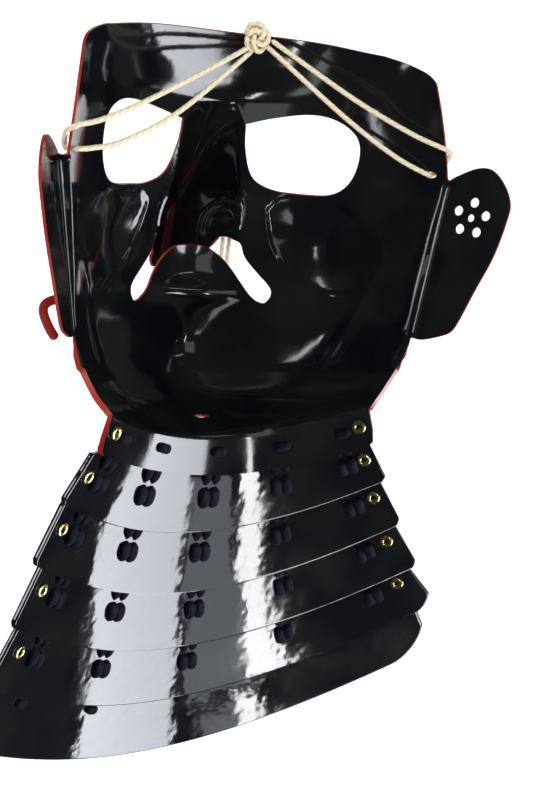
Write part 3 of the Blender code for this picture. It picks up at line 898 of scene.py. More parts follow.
@dataclass(frozen=True)
class FaceForm:
    """The inner face of the face sheet, its flange and both ears, for points of one pattern.

    Past the ear line the pattern goes on over a narrow step and then over the ear plate.
    """

    sections: tuple[Section, ...] = (
        Section(60, 80.0, -11.0, -42.5, 60.0, 0.58),
        Section(45, 81.5, -6.5, -49.8, 45.0, 0.52),
        Section(30, 83.7, -3.5, -57.0, 30.0, 0.60),
        Section(15, 85.8, -1.8, -59.5, 15.0, 0.82),
        Section(0, 87.4, -1.3, -62.0, 0.0, 0.90),
        Section(-20, 85.1, -2.6, -64.0, -20.0, 0.90),
        Section(-45, 82.1, -4.2, -67.0, -45.0, 0.90),
        Section(-69, 79.2, -5.7, -69.0, -69.0, 0.88),
        Section(-80, 75.5, -6.3, -70.0, -86.0, 0.85),
        Section(-90, 71.0, -6.5, -66.5, -101.0, 0.83),
        Section(-98, 66.5, -5.5, -54.0, -112.5, 0.82),
        Section(WAIST_V, 61.6, -2.5, -28.0, -120.0, 1.00),
    )
    nose: tuple[Nose, ...] = (
        Nose(28, 10.0, 0.0, 0.0),
        Nose(20, 14.5, 6.0, 0.0),
        Nose(10, 15.0, 13.0, 0.0),
        Nose(0, 15.5, 20.0, 0.0),
        Nose(-12, 17.5, 28.0, 0.0),
        Nose(-24, 20.0, 35.0, 2.0),
        Nose(-31, 21.0, 36.0, 9.0),
        Nose(-37, 21.5, 34.0, 18.0),
    )
    swellings: tuple[Swelling, ...] = (
        Swelling(0, 31, 60, 9, 1.2),  # brow
        Swelling(0, -43, 26, 24, 8.5),  # muzzle
        Swelling(0, -82, 21, 11, 8.5),  # chin
        Swelling(0, -62, 24, 5, -4.0),  # fold under the lower lip
        Swelling(14.5, -27, 7.0, 10, 4.0),  # nostril wing
        Swelling(51, -33, 17, 18, 7.0),  # cheek
        Swelling(62, -74, 11, 14, 2.0),  # jaw
    )
    folds: tuple[Fold, ...] = (
        Fold(((29, -13), (29.6, -21), (33, -34), (40, -47), (49, -55.5), (58, -58.4), (64.5, -57.5)),
             0.45, 1.1),
        Fold(((68.8, -49), (67.0, -60), (63.0, -72), (57.5, -82), (53.5, -87.5)), 0.9, 2.0),
    )
    cheek: Pocket = Pocket(((29, -20.6), (33, -34), (40, -48), (49, -55.5), (58, -58), (66, -54.5), (71, -42),
                            (71, -26), (60, -15), (46, -11.5), (34, -13), (29, -20.6)), 0.8, 3.0)
    nose_bow: float = 1.35
    curl_from: float = 74.0
    curl_foot: float = -95.0
    curl: float = 0.012
    bead: float = 0.5
    bead_half: float = 0.55
    nostril: tuple[float, float, float, float] = (16.4, -27.5, 5.0, 11.0)
    nostril_rings: Points = ((1.0, 0.10, 1.05), (0.62, 0.09, 0.8))
    droop_half_width: float = 17.0
    ear_top: Place = (91.3, -1.2, -0.8)
    ear_low: Place = (81.2, -2.3, -69.5)
    ear_out: Place = (0.503, 0.860, -0.088)
    ear_foot: float = -85.0
    beside_ear: tuple[float, float] = (-72.0, 0.5)
    root_top: float = -0.6
    root_low: float = -69.6
    root_curl: float = 0.999
    step: float = 3.9
    crease_round: float = 1.5
    waist_round: float = 2.0
    blur: tuple[float, ...] = (-0.8, -0.4, 0.0, 0.4, 0.8)
    blur_reach: float = 1.6
    bead_way: Place = (-0.857, 0.515, 0.05)
    ring_way: Place = (-0.9, 0.4, -0.15)
    flange_lean: float = 0.06

    def ear_line(self, v: np.ndarray) -> np.ndarray:
        """Half the face's width at height v."""
        return read_table(self.sections, "ear_x", v)

    def ear_x(self, v: float) -> float:
        """Half the face's width at one height."""
        return float(self.ear_line(np.array([v]))[0])

    def face(self, x: np.ndarray, v: np.ndarray) -> np.ndarray:
        """Places points of the face and its flange, before creases are rounded."""
        above = np.maximum(v, WAIST_V)
        columns = ("ear_x", "ear_y", "mid_y", "mid_z", "bow")
        ear_x, ear_y, mid_y, mid_z, bow = (read_table(self.sections, column, above) for column in columns)
        share = x / ear_x
        y = mid_y + (ear_y - mid_y) * (bow * share**2 + (1 - bow) * share**4)
        z = above + (mid_z - above) * (1 - share**2)
        for swelling in self.swellings:
            for side in (1, -1) if swelling.x else (1,):
                y = y - swelling.raised(side * x, v)
        for fold in self.folds:
            y = y + fold.raised(x, v)
        y = y - self.cheek.sunk(np.abs(x), v)
        y = y + self.curl * np.maximum(np.abs(x) - self.curl_from, 0) ** 2 * smooth((v - self.curl_foot) / 25)
        on_nose = np.clip(1 - (x / read_table(self.nose, "half_width", v)) ** 2, 0, 1)
        on_nose = on_nose * (v > self.nose[-1].v - 2)
        y = y - read_table(self.nose, "depth", v) * on_nose**self.nose_bow
        droop = np.clip(1 - (x / self.droop_half_width) ** 4, 0, 1) * (on_nose > 0)
        z = z - read_table(self.nose, "droop", v) * droop
        return np.stack([x, *self.flange(x, y, z, v)], axis=-1)

    def flange(self, x: np.ndarray, y: np.ndarray, z: np.ndarray, v: np.ndarray
               ) -> tuple[np.ndarray, np.ndarray]:
        """Turns the sheet down below the waist, into the band that the first lame hangs on."""
        waist, lower = GUARD_EDGES[:2]
        down = np.clip((WAIST_V - v) / (waist.end_z - lower.end_z), 0, 1)
        share = x / (waist.half_width + (lower.half_width - waist.half_width) * down)
        share = share + self.flange_lean * (1 - share**2)
        below = v < WAIST_V
        band_y = waist.y(share) * (1 - down) + lower.y(share) * down
        band_z = waist.z(share) * (1 - down) + lower.z(share) * down
        return np.where(below, band_y, y), np.where(below, band_z, z)

    def ear(self, x: np.ndarray, v: np.ndarray) -> np.ndarray:
        """Places points past the ear line, x being the distance past it with the face's own half width."""
        top, low = np.array(self.ear_top), np.array(self.ear_low)
        down_way = (low - top) / np.linalg.norm(low - top)
        crease = top + ((v - top[2]) / down_way[2])[..., None] * down_way
        held = np.clip(v, self.root_low, self.root_top)
        line = self.ear_line(held)
        curl = self.curl * (line - self.curl_from) ** 2 * self.root_curl
        root_y = read_table(self.sections, "ear_y", held) + curl
        root = np.stack([line, root_y, crease[..., 2]], axis=-1)
        past = x - self.ear_line(v)
        on_step = np.clip(past / self.step, 0, 1)[..., None]
        on_plate = np.maximum(past - self.step, 0)[..., None]
        return root + (crease - root) * on_step + on_plate * np.array(self.ear_out)

    def sharp(self, x: np.ndarray, v: np.ndarray) -> np.ndarray:
        """Places points of the whole pattern, with its creases sharp."""
        wide = np.abs(x)
        past = wide - self.ear_line(v)
        beside = smooth((0.6 - v) / 3.2) * smooth((v + 72.6) / 3.0)
        share = np.maximum(beside, smooth((past - 1.0) / 2.7))
        share = np.where((past > 0) & (v > self.ear_foot), share, 0.0)[..., None]
        ear = self.ear(wide, v)
        ear[..., 0] *= np.sign(x)
        return self.face(x, v) * (1 - share) + ear * share

    def __call__(self, flat: np.ndarray) -> np.ndarray:
        """Places flat points, with the creases at the ears and at the waist rounded."""
        x, v = flat[:, 0], flat[:, 1]
        past = np.abs(x) - self.ear_line(v)
        nearest = np.minimum(np.abs(past), np.abs(past - self.step))
        foot, head = self.beside_ear
        across = self.crease_round * np.clip(self.blur_reach - nearest / self.crease_round, 0, 1)
        across = across * np.sign(x) * ((v < head) & (v > foot))
        upright = self.waist_round * np.clip(self.blur_reach - np.abs(v - WAIST_V) / self.waist_round, 0, 1)
        rounded = sum(self.sharp(x + a * across, v) + self.sharp(x, v + a * upright) for a in self.blur)
        bead = self.bead * np.exp(-((nearest / self.bead_half) ** 2))
        bead = bead * smooth(-v / 3) * smooth((v - foot) / 3)
        middle, up, half_across, half_up = self.nostril
        reach = np.hypot((np.abs(x) - middle) / half_across, (v - up) / half_up)
        ring = sum(height * np.exp(-(((reach - at) / half) ** 2)) for at, half, height in self.nostril_rings)
        side = np.stack([np.sign(x), np.ones_like(x), np.ones_like(x)], axis=1)
        lift = bead[:, None] * np.array(self.bead_way) + ring[:, None] * np.array(self.ring_way)
        return rounded / (2 * len(self.blur)) + side * lift

    def ear_spot(self, out: float, down: float) -> Vector:
        """The pattern's place for a point of the ear plate, out from its crease and down along it."""
        rise = (self.ear_low[2] - self.ear_top[2]) / np.linalg.norm(np.subtract(self.ear_low, self.ear_top))
        v = self.ear_top[2] + down * float(rise)
        return Vector((self.ear_x(v) + self.step + out, v))


@dataclass
class FacePlate:
    """The face, its flange and both ears, beaten as one sheet."""

    form: FaceForm = FaceForm()
    # Its third skin is the pale lacquer of the painted crease highlights.
    wall: Wall = Wall(2.5, 0.3, (BLACK, RED, CREASE_HIGHLIGHT))
    rim_step: float = 1.15
    eye: Points = ((15.6, 18.3), (16.8, 7.5), (21.4, -4.9), (30, -10.3), (44, -12), (55, -10.2), (60.5, -3.0),
                   (62.2, 8), (60.2, 17.2), (53, 23.4), (43, 24.9), (28.5, 22.1), (15.6, 18.3))
    lower_lip: Points = ((29.5, -64.6), (25.8, -61.0), (19.8, -50.8), (15.2, -45.0), (8.5, -40.4), (0, -39.4))
    mouth_side: Points = ((29.5, -64.6), (33.2, -65.2), (35.6, -61.0), (34.6, -57.0), (30.3, -51.4),
                          (24.2, -43.4), (22.0, -37.5), (18.0, -34.8), (13.0, -35.2), (7.0, -36.4),
                          (0, -36.6))
    top_edge: Points = ((0, 56.8), (25, 56.8), (45, 55.9), (66, 53.2))
    top_corner: Points = ((66, 53.2), (73.5, 50.6), (79.4, 46.8), (82.3, 42.0))
    past_ear_line: Points = ((42, 0.1), (30, 0.3), (3, 0.6), (-70.5, 2.2), (-84, 2.0), (-98, 1.2),
                             (WAIST_V, 0.4))
    notch_line: Points = ((0.7, 1.6), (1.2, 0.6), (2.2, 0.1), (3.3, 0.35))
    edge_top_v: float = 2.5
    edge_low_v: float = -73.2
    ear_runs: tuple[float, ...] = (-1.2, -0.75, -0.35, 0.0, 0.35, 0.75, 1.2, 2.7, 3.15, 3.55, 3.9, 4.25,
                                   4.65, 5.1)
    nostril_runs: tuple[float, ...] = (0.46, 0.54, 0.62, 0.70, 0.78, 0.86, 0.93, 1.0, 1.07, 1.14)
    thin: float = 0.48
    crease_highlight_reach: float = 0.36
    ear_clear: float = 12.0
    eased_hole: float = 0.5
    ear_edge: Points = ((0, -1.6), (4.5, -5.0), (12.5, -9.4), (19.5, -9.8), (26.5, -4.5), (31.2, 3.0),
                        (31.5, 11.0), (29.4, 27.0), (24.5, 44.0), (20.6, 58.0), (17.8, 64.2), (12.1, 67.8),
                        (5.0, 70.8), (0, 71.0))
    vents: tuple[float, float] = (14.6, 12.6)
    vent_ring: float = 7.0
    vent_radius: float = 2.2
    middle_vent_radius: float = 1.7
    cord_hole: tuple[float, float] = (84.0, 2.7)
    cord_hole_radius: float = 1.4
    chin_slot: tuple[float, float, float, float] = (1.8, -100.6, 3.9, 0.3)

    def edge(self, v: float) -> Vector:
        """The face's back edge at height v, a little past the ear line."""
        heights, past = zip(*reversed(self.past_ear_line))
        return Vector((self.form.ear_x(v) + float(np.interp(v, heights, past)), v))

    def notch(self) -> Loop:
        """The outline's small notch between the face's edge and the top of the ear."""
        return [Vector((self.form.ear_x(0.0) + past, v)) for past, v in self.notch_line]

    def ear_outline(self) -> Loop:
        """The ear's edge from its top to its foot, and the foot of the step beside it."""
        edge = [self.form.ear_spot(*p) for p in run_through(self.ear_edge, self.rim_step)]
        foot = self.form.ear_spot(*self.ear_edge[-1])
        return [*edge, foot, Vector((foot.x - 0.7, foot.y - 0.5)), Vector((foot.x - 1.2, foot.y - 1.2))]

    def outline(self) -> Loop:
        """The left half of the pattern from top to bottom, then its mirror image."""
        lower, rim_step = GUARD_EDGES[1], self.rim_step
        x, z = lower.half_width, lower.end_z
        left = run_through(self.top_edge, rim_step)[1:] + run_through(self.top_corner, rim_step)
        upper = np.linspace(self.top_corner[-1][1], self.edge_top_v, 30)
        left += divided([self.edge(v) for v in upper], rim_step)
        left += self.notch() + self.ear_outline()
        left += divided([self.edge(v) for v in np.linspace(self.edge_low_v, WAIST_V, 20)], rim_step)
        corner = [Vector(p) for p in ((x - 1.0, z + 7), (x, z + 1.5), (x - 1.5, z), (0, z))]
        left += divided(corner, rim_step)[:-1]
        return [Vector((0, self.top_edge[0][1])), *left, Vector((0, z)), *mirrored(left)]

    def mouth(self) -> Loop:
        """The mouth opening, which runs up under the nose on both sides."""
        lip = run_through(self.lower_lip, self.rim_step)
        half = list(reversed(lip[1:])) + run_through(self.mouth_side, self.rim_step)
        return [Vector(self.lower_lip[-1]), *half, Vector(self.mouth_side[-1]), *mirrored(half)]

    def vent_loops(self) -> list[Loop]:
        """The ring of vents of the left ear and the small one inside it."""
        out, down = self.vents
        spots = [(out + self.vent_ring * math.sin(a), down - self.vent_ring * math.cos(a), self.vent_radius)
                 for a in (i * math.tau / 5 for i in range(5))]
        spots.append((out, down, self.middle_vent_radius))
        return [[self.form.ear_spot(*p) for p in circle((a, b), r, 20)] for a, b, r in spots]

    def holes(self) -> list[Loop]:
        """Every opening of the sheet."""
        eye = run_through(self.eye, self.rim_step)
        left = [eye, circle(self.cord_hole, self.cord_hole_radius, 18), *self.vent_loops()]
        x, v, half_width, half_height = self.chin_slot
        slot = [Vector((x + half_width * math.cos(a), v + half_height * math.sin(a)))
                for a in np.linspace(0, math.tau, 20)[:-1]]
        return [*left, *(mirrored(loop) for loop in left), self.mouth(), slot]

    def creases(self) -> list[Loop]:
        """Close parallel runs along the waist and along both creases of each ear."""
        waist = []
        for v in WAIST_V + np.linspace(-2.0, 2.0, 5):
            width = self.edge(max(v, WAIST_V)).x - 0.8
            waist.append([Vector((x, v)) for x in np.linspace(-width, width, 110)])
        heights = np.linspace(-1.5, -69.0, 60)
        runs = [[Vector((self.form.ear_x(v) + past, v)) for v in heights] for past in self.ear_runs]
        runs += [run for fold in self.form.folds for run in fold.runs()]
        x, v, half_x, half_v = self.form.nostril
        runs += [[Vector((x + reach * half_x * math.cos(a), v + reach * half_v * math.sin(a)))
                  for a in np.linspace(-0.32, math.pi + 0.32, 46)] for reach in self.nostril_runs]
        return [*waist, *(way(run) for run in runs for way in (list, mirrored))]

    def build(self) -> bpy.types.Object:
        """Makes the plate."""
        sheet = Sheet(self.outline(), self.holes(), self.creases(), 1.3)
        plate = formed_plate("face_plate", sheet, self.form, self.wall, self.wall_share)
        modified(plate, "WEIGHTED_NORMAL", weight=80)
        self.blacken_vents(plate.data)
        self.paint_crease_highlights(plate.data)
        return finished(plate, Slot.BLACK, "face_shell", "ear_left", "ear_right")

    def wall_share(self, flat: np.ndarray) -> np.ndarray:
        """The sheet is thin, apart from the edges of the jaw and the flange."""
        past = np.abs(flat[:, 0]) - self.form.ear_line(flat[:, 1])
        jaw = smooth((-74 - flat[:, 1]) / 8) * smooth((past + 9) / 8)
        return self.thin + (1 - self.thin) * jaw

    def blacken_vents(self, mesh: bpy.types.Mesh) -> None:
        """Lets the black lacquer run through the vents of both ears."""
        corners = [loop[0] for loop in self.vent_loops()] + [loop[10] for loop in self.vent_loops()]
        flat = np.array([(way * p.x, p.y) for way in (1, -1) for p in corners])
        placed = self.form(flat)
        middles = (placed.reshape(2, 2, -1, 3)).mean(axis=1).reshape(-1, 3) * MM
        wall = self.thin * self.wall.thickness
        reach = (self.vent_radius + self.eased_hole) ** 2 + wall**2
        centres = numbers(mesh.polygons, "center", np.float32, 3)
        skins = numbers(mesh.polygons, "material_index", np.int32)
        for middle in middles:
            near = ((centres - middle) ** 2).sum(axis=1) < reach * MM**2
            skins[near & (self.depth_at(centres, middle) < wall * MM * 0.9)] = 0
        mesh.polygons.foreach_set("material_index", skins)

    def paint_crease_highlights(self, mesh: bpy.types.Mesh) -> None:
        """Paints a highlight along both creases of each ear: inner faces close to a crease get the pale grey
        lacquer.
        """
        heights = np.linspace(-2.5, -68.0, 280)
        line = self.form.ear_line(heights)
        flat = np.concatenate([np.stack([way * (line + past), heights], axis=1)
                               for way in (1, -1) for past in (0.0, self.form.step)])
        tree = search_tree(self.form(flat) * MM)
        low = (GUARD_EDGES[0].half_width + self.ear_clear) * MM
        for face in mesh.polygons:
            at = face.center
            if face.material_index == 0 and abs(at.x) > low and tree.find(at)[2] < self.crease_highlight_reach * MM:
                # A painted highlight along the crease.
                face.material_index = 2

    def depth_at(self, places: np.ndarray, middle: np.ndarray) -> np.ndarray:
        """How far outwards of the ear plate's inner face each place lies, for the ear that middle is on."""
        down_way = np.subtract(self.form.ear_low, self.form.ear_top)
        out = np.cross(down_way, np.array(self.form.ear_out))
        out = out / np.linalg.norm(out)
        out = out * -np.sign(out[1])
        out[0] *= np.sign(middle[0])
        return (places - middle) @ out


def finished(piece: bpy.types.Object, slot: Slot, *nodes: str) -> bpy.types.Object:
    """Puts a piece on the guard's one body, in place of the CAD nodes it stands for.

    Args:
        piece: The new piece.
        slot: The record's material slot. Not used.
        *nodes: The CAD nodes that it replaces.

    Returns:
        The piece.
    """
    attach(piece, ROOT)
    if nodes:
        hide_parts(*nodes)
    LOG.info("%s: %d faces", piece.name, len(piece.data.polygons))
    return piece


# ---- The throat guard ----


@dataclass(frozen=True)
class Lame:
    """A lame's half widths at the edge over it and at its own, its sway, turn, cut corners and trim."""

    top: float
    bottom: float
    sway: float
    turn_deg: float
    corner: tuple[float, float]
    trim: float = 0.0


@dataclass(frozen=True)
class ThroatGuard:
    """Five lames that hang from the flange, each lapping in front of the one above it."""

    lames: tuple[Lame | None, ...] = (
        None,
        Lame(66.8, 78.6, 0.0, 1.2, (0.9, 2.4)),
        Lame(77.3, 90.0, 0.8, 2.4, (0.9, 2.4)),
        Lame(87.2, 100.9, 2.2, 3.6, (0.9, 2.4)),
        Lame(97.4, 111.3, 1.2, 4.8, (3.0, 6.0)),
        Lame(107.4, 121.5, -1.0, 6.0, (10.0, 13.0), 7.5),
    )
    laps: tuple[float, ...] = (0, 3.0, 7.5, 7.5, 7.5, 7.5)
    top_inset: float = 3.4
    lap_gap: float = 5.6
    lean_pivot_z: float = -125.0
    face: FaceForm = FaceForm()
    wall: Wall = Wall(2.6, 0.3, (RIPPLED, RIPPLED))
    rim_step: float = 1.6
    rim_band: float = 0.65
    spacing: float = 2.6

    @staticmethod
    def height(number: int) -> float:
        """How tall a lame's pattern is, from the edge over it to its own."""
        above, below = GUARD_EDGES[number], GUARD_EDGES[number + 1]
        return (above.end_z + above.mid_z - below.end_z - below.mid_z) / 2

    def width(self, number: int, height: np.ndarray) -> np.ndarray:
        """Half width of a lame's pattern at this height above the edge over it."""
        lame = self.lames[number]
        down = np.maximum(-height, 0) / self.height(number)
        over = GUARD_EDGES[number - 1].half_width - GUARD_EDGES[number].half_width
        up = np.maximum(height, 0) / self.height(number - 1)
        return lame.top + (lame.bottom - lame.top) * down + over * up

    def place(self, flat: np.ndarray, number: int) -> np.ndarray:
        """Places points of the flange (0) or of a lame, given as (across, height above the edge over it)."""
        if number == 0:
            return self.face(np.stack([flat[:, 0], WAIST_V + flat[:, 1]], axis=1))
        above, below, over = GUARD_EDGES[number], GUARD_EDGES[number + 1], GUARD_EDGES[number - 1]
        x, height = flat[:, 0], flat[:, 1]
        down = np.maximum(-height, 0) / self.height(number)
        up = np.maximum(height, 0) / self.height(number - 1)
        share = x / self.width(number, height)
        y, z = above.y(share), above.z(share)
        y = y + (below.y(share) - y) * down + (over.y(share) - y) * up
        z = z + (below.z(share) - z) * down + (over.z(share) - z) * up
        y = y - self.lap_gap * (1 - down) * (1 + 0.2 * share**2)
        return self.hang(np.stack([x, y, z], axis=1), self.lames[number])

    def hang(self, points: np.ndarray, lame: Lame) -> np.ndarray:
        """Turns and sways points of a lame the way it hangs."""
        angle = math.radians(lame.turn_deg)
        x, z = points[:, 0].copy(), points[:, 2] - self.lean_pivot_z
        points[:, 0] = x * math.cos(angle) + z * math.sin(angle) - lame.sway
        points[:, 2] = self.lean_pivot_z - x * math.sin(angle) + z * math.cos(angle)
        return points

    def outline(self, number: int) -> Loop:
        """A lame's pattern: a rising top edge, splayed sides and rounded lower corners."""
        lame, height, lap = self.lames[number], self.height(number), self.laps[number]
        top = float(self.width(number, np.array(lap))) - self.top_inset
        (cut_x, cut_y), side = lame.corner, lame.bottom - lame.trim
        corner = [(side - cut_x * (1 - math.cos(a)), -height + cut_y * (1 - math.sin(a)))
                  for a in np.linspace(0, math.pi / 2, 9)]
        edge = [(0, lap), (top - 1.2, lap), (top, lap - 1.0), (lame.top, 0), *corner, (0, -height)]
        left = divided([Vector(p) for p in edge], self.rim_step)
        return [*left, *mirrored(left[1:-1])]

    def build(self) -> list[bpy.types.Object]:
        """Makes the five lames."""
        made = []
        for number in range(1, 6):
            outline = self.outline(number)
            sheet = Sheet(outline, creases=[inset(outline, self.rim_band)], spacing=self.spacing)
            form = partial(self.place, number=number)
            plate = formed_plate(f"throat_lame_{number}", sheet, form, self.wall)
            made.append(finished(plate, Slot.BLACK, f"lame_{number}"))
        return made

    def surface(self, number: int, spot: Sequence[float]) -> tuple[Vector, Vector, Vector, Vector]:
        """A place on the inner face of the flange (0) or a lame, with the ways across, up and out of it."""
        x, drop = spot
        at, across, up = self.place(np.array([(x, drop), (x + 1, drop), (x, drop + 1)], float), number)
        out = Vector(across - at).cross(Vector(up - at)).normalized()
        return Vector(at), Vector(across - at), Vector(up - at), out

    def beside(self, number: int, spot: Sequence[float], offset: float) -> Vector:
        """The pattern's place that lies this true distance across from a spot."""
        _, across, _, _ = self.surface(number, spot)
        return Vector((spot[0] + offset / across.length, spot[1]))

    def wall_at(self, number: int) -> float:
        """Roughly how thick the flange (0) is, or how thick a lame is."""
        return self.wall.thickness if number else FLANGE_WALL

    def column_x(self, number: int, share: float, height: float) -> float:
        """How far across the flange (0) or a lame a share of its half width lies at this height."""
        return share * (float(self.width(number, np.array(height))) if number else GUARD_EDGES[1].half_width)


@dataclass(frozen=True)
class Eyelets:
    """Rolled brass eyelets near both ends of the flange and of the upper four lames."""

    guard: ThroatGuard = ThroatGuard()
    share: float = 0.95
    drop: float = -10.2
    flange_spot: tuple[float, float] = (0.905, -6.5)
    ring: float = 2.2
    roll: float = 1.15
    squash: float = 0.72
    proud: float = 0.25
    bore: float = 1.2
    pipe_wall: float = 0.5

    def model(self) -> bpy.types.Object:
        """Models one eyelet about the origin, its axis upright: two rolled rims and the pipe between them."""
        bpy.ops.object.select_all(action="DESELECT")
        reach = self.guard.wall.thickness / 2 + self.proud
        rims = []
        for way in (-1, 1):
            bpy.ops.mesh.primitive_torus_add(
                major_radius=self.ring * MM, minor_radius=self.roll * MM, major_segments=36,
                minor_segments=14, location=(0, 0, way * reach * MM))
            with editing():
                bpy.ops.transform.resize(value=(1, 1, self.squash), center_override=(0, 0, way * reach * MM))
            rims.append(bpy.context.object)
        bpy.ops.mesh.primitive_cylinder_add(vertices=36, radius=self.bore * MM, depth=2 * reach * MM,
                                            end_fill_type="NOTHING")
        pipe = bpy.context.object
        modified(pipe, "SOLIDIFY", thickness=self.pipe_wall * MM, offset=1.0)
        for rim in rims:
            rim.select_set(True)
        bpy.ops.object.join()
        bpy.ops.object.transform_apply(location=True, rotation=True, scale=True)
        with editing():
            bpy.ops.mesh.normals_make_consistent(inside=False)
        pipe.data.shade_smooth()
        pipe.data.materials.append(BRASS)
        return pipe

    def build(self) -> list[bpy.types.Object]:
        """Copies the eyelet to each of its places."""
        model = self.model()
        made = []
        for number in range(5):
            share, drop = (self.share, self.drop) if number else self.flange_spot
            for side in Side:
                spot = (side.value * self.guard.column_x(number, share, drop), drop)
                at, _, _, out = self.guard.surface(number, spot)
                wall = self.guard.wall_at(number)
                place = Matrix.LocRotScale((at + out * wall / 2) * MM, out.to_track_quat("Z", "Y"), None)
                mesh = model.data.copy()
                mesh.transform(place)
                piece = new_piece(f"brass_eyelet_{side.name.lower()}_{number}", mesh)
                made.append(finished(piece, Slot.BRASS, f"eyelet_{side.name.lower()}_{number}"))
        bpy.data.objects.remove(model)
        return made


@dataclass(frozen=True)
class Lacing:
    """Five columns of two braided laces that tie the lames together.

    A lace shows inside as a short stub under each plate's lower edge and a plump stitch below it.
    """

    guard: ThroatGuard = ThroatGuard()
    shares: tuple[float, ...] = (-0.86, -0.48, 0.0, 0.48, 0.86)
    pair: float = 4.8
    hole_drops: tuple[float, float] = (-3.2, -14.6)
    flange_share: float = 0.95
    flange_drops: tuple[float, float] = (-4.0, -11.2)
    last_drop: float = -3.6
    half_width: float = 2.5
    half_thick: float = 1.2
    gap: float = 0.15
    over_top: float = 1.3
    drawn_in: float = 0.6
    plump_over: float = 0.55
    plump_outside: float = 0.5
    rib: float = 0.045
    rib_pitch: float = 0.9
    step: float = 0.45
    stitch: Points = ((0.6, 0.9, 0.75), (-1.6, 1.1, 0.8), (-3.4, 0.7, 0.6), (-4.9, -0.3, 0.2),
                      (-6.2, -1.3, 0.0), (-7.0, -0.4, 0.35), (-8.2, 1.0, 0.86), (-9.6, 1.4, 1.0),
                      (-11.2, 1.5, 1.0), (-12.8, 1.3, 0.96), (-14.2, 0.7, 0.75), (-15.0, -0.4, 0.3),
                      (-15.2, -1.6, 0.1))
    flange_stitch: Points = ((0.0, 1.2, 0.8), (1.4, 1.2, 0.8), (2.6, 0.8, 0.6), (3.3, -0.3, 0.3),
                             (3.5, -1.4, 0.1))

    def spots(self, number: int, share: float, offset: float) -> list[Vector]:
        """The pattern's places of a lace's upper and lower hole in the flange (0) or a lame."""
        drops = self.hole_drops if number else self.flange_drops
        share = share if number else share * self.flange_share
        return [self.guard.beside(number, (self.guard.column_x(number, share, d), d), offset) for d in drops]

    def route(self, share: float, offset: float) -> list[tuple[Vector, Vector, float]]:
        """Follows a lace down the guard.

        Args:
            share: The column, as a share of the half width.
            offset: How far across from the column's middle the lace runs.

        Returns:
            Its points, each with the way out of the plate and how plump the lace is there, from 0 to 1.
        """
        stops = []
        for number in range(6):
            outside = self.guard.wall_at(number) + self.half_thick + self.gap
            upper, lower = self.spots(number, share, offset)
            low, _, _, low_out = self.guard.surface(number, lower)
            if number:
                aside = upper.x - self.guard.column_x(number, share, upper.y)
                over = (self.guard.column_x(number, share, 0) + aside, self.guard.laps[number] + self.over_top)
                brow, _, _, brow_out = self.guard.surface(number, over)
                stops.append((brow + brow_out * (outside - self.drawn_in), brow_out, self.plump_over))
            if 0 < number < 5:
                for drop, stand, plump in self.stitch:
                    share_down = (drop - upper.y) / (lower.y - upper.y)
                    spot = (upper.x + (lower.x - upper.x) * share_down, drop)
                    at, _, _, out = self.guard.surface(number, spot)
                    stops.append((at - out * stand, out, plump))
            else:
                middle = Vector((upper.x, self.last_drop)) if number else (upper + lower) / 2
                middle.x -= offset / self.guard.surface(number, upper)[1].length
                for across, stand, plump in reversed(self.flange_stitch) if number else self.flange_stitch:
                    spot = self.guard.beside(number, middle, across * (1 if offset > 0 else -1))
                    at, _, _, out = self.guard.surface(number, spot)
                    stops.append((at - out * stand, out, plump))
            if number < 5:
                stops.append((low + low_out * outside, low_out, self.plump_outside))
        return stops

    def lace(self, name: str, share: float, offset: float, node: str) -> bpy.types.Object:
        """Makes one lace."""
        stops = self.route(share, offset)
        rows = [(*at, *out, plump) for at, out, plump in stops]
        path = flat_array([*run_through(rows, self.step, 2), rows[-1]])
        at, out, plump = path[:, :3], path[:, 3:6], np.clip(path[:, 6], 0.1, 1.0)
        ways = np.gradient(at, axis=0)
        ways /= np.linalg.norm(ways, axis=1)[:, None]
        across = np.cross(ways, out)
        across /= np.linalg.norm(across, axis=1)[:, None]
        out = np.cross(across, ways)
        width = self.half_width * (0.42 + 0.58 * plump)
        thick = self.half_thick * (0.6 + 0.4 * plump)

        def profile(along: np.ndarray, turn: np.ndarray) -> tuple[np.ndarray, np.ndarray]:
            """A flat oval, ribbed slantwise from its middle like a braid."""
            rib = 1 + self.rib * np.cos(math.tau * along / self.rib_pitch + 2.6 * np.abs(np.cos(turn)))
            return width[:, None] * np.cos(turn) * rib, thick[:, None] * np.sin(turn) * rib

        piece = swept(name, Track(at, across, out), profile, 20, NAVY)
        return finished(piece, Slot.BRAID, node)

    def build(self) -> list[bpy.types.Object]:
        """Makes every lace."""
        made = []
        for column, share in enumerate(self.shares, 1):
            for letter, offset in (("a", self.pair / 2), ("b", -self.pair / 2)):
                made.append(self.lace(f"braid_{column}{letter}", share, offset, f"lace_{column}{letter}"))
        return made


# ---- Pegs and the hanging cord ----


@dataclass(frozen=True)
class Pegs:
    """A bent rod on each cheek, for the helmet's cord."""

    route: Points = ((78.5, -25.5, -59.5), (84.5, -22.5, -60.0), (87.6, -21.5, -62.0), (87.8, -21.0, -65.5),
                     (85.5, -20.0, -71.0), (82.6, -19.0, -75.6))
    radius: float = 2.0

    def build(self) -> list[bpy.types.Object]:
        """Makes both pegs."""
        made = []
        for side in Side:
            places = [Vector((side.value * x, y, z)) for x, y, z in self.route]
            track = free_track([*run_through(places, 0.5), places[-1]], Vector((0, 1, 0)))
            length = track.along[-1]

            def profile(along: np.ndarray, turn: np.ndarray) -> tuple[np.ndarray, np.ndarray]:
                """A round rod with domed ends."""
                near_end = np.clip(np.minimum(along, length - along) / (0.8 * self.radius), 0, 1)
                radius = self.radius * np.sqrt(np.maximum(1 - (1 - near_end) ** 2, 0.04))
                return radius * np.cos(turn), radius * np.sin(turn)

            word = side.name.lower()
            piece = swept(f"red_peg_{word}", track, profile, 24, RED)
            made.append(finished(piece, Slot.RED, f"cord_peg_{word}"))
        return made


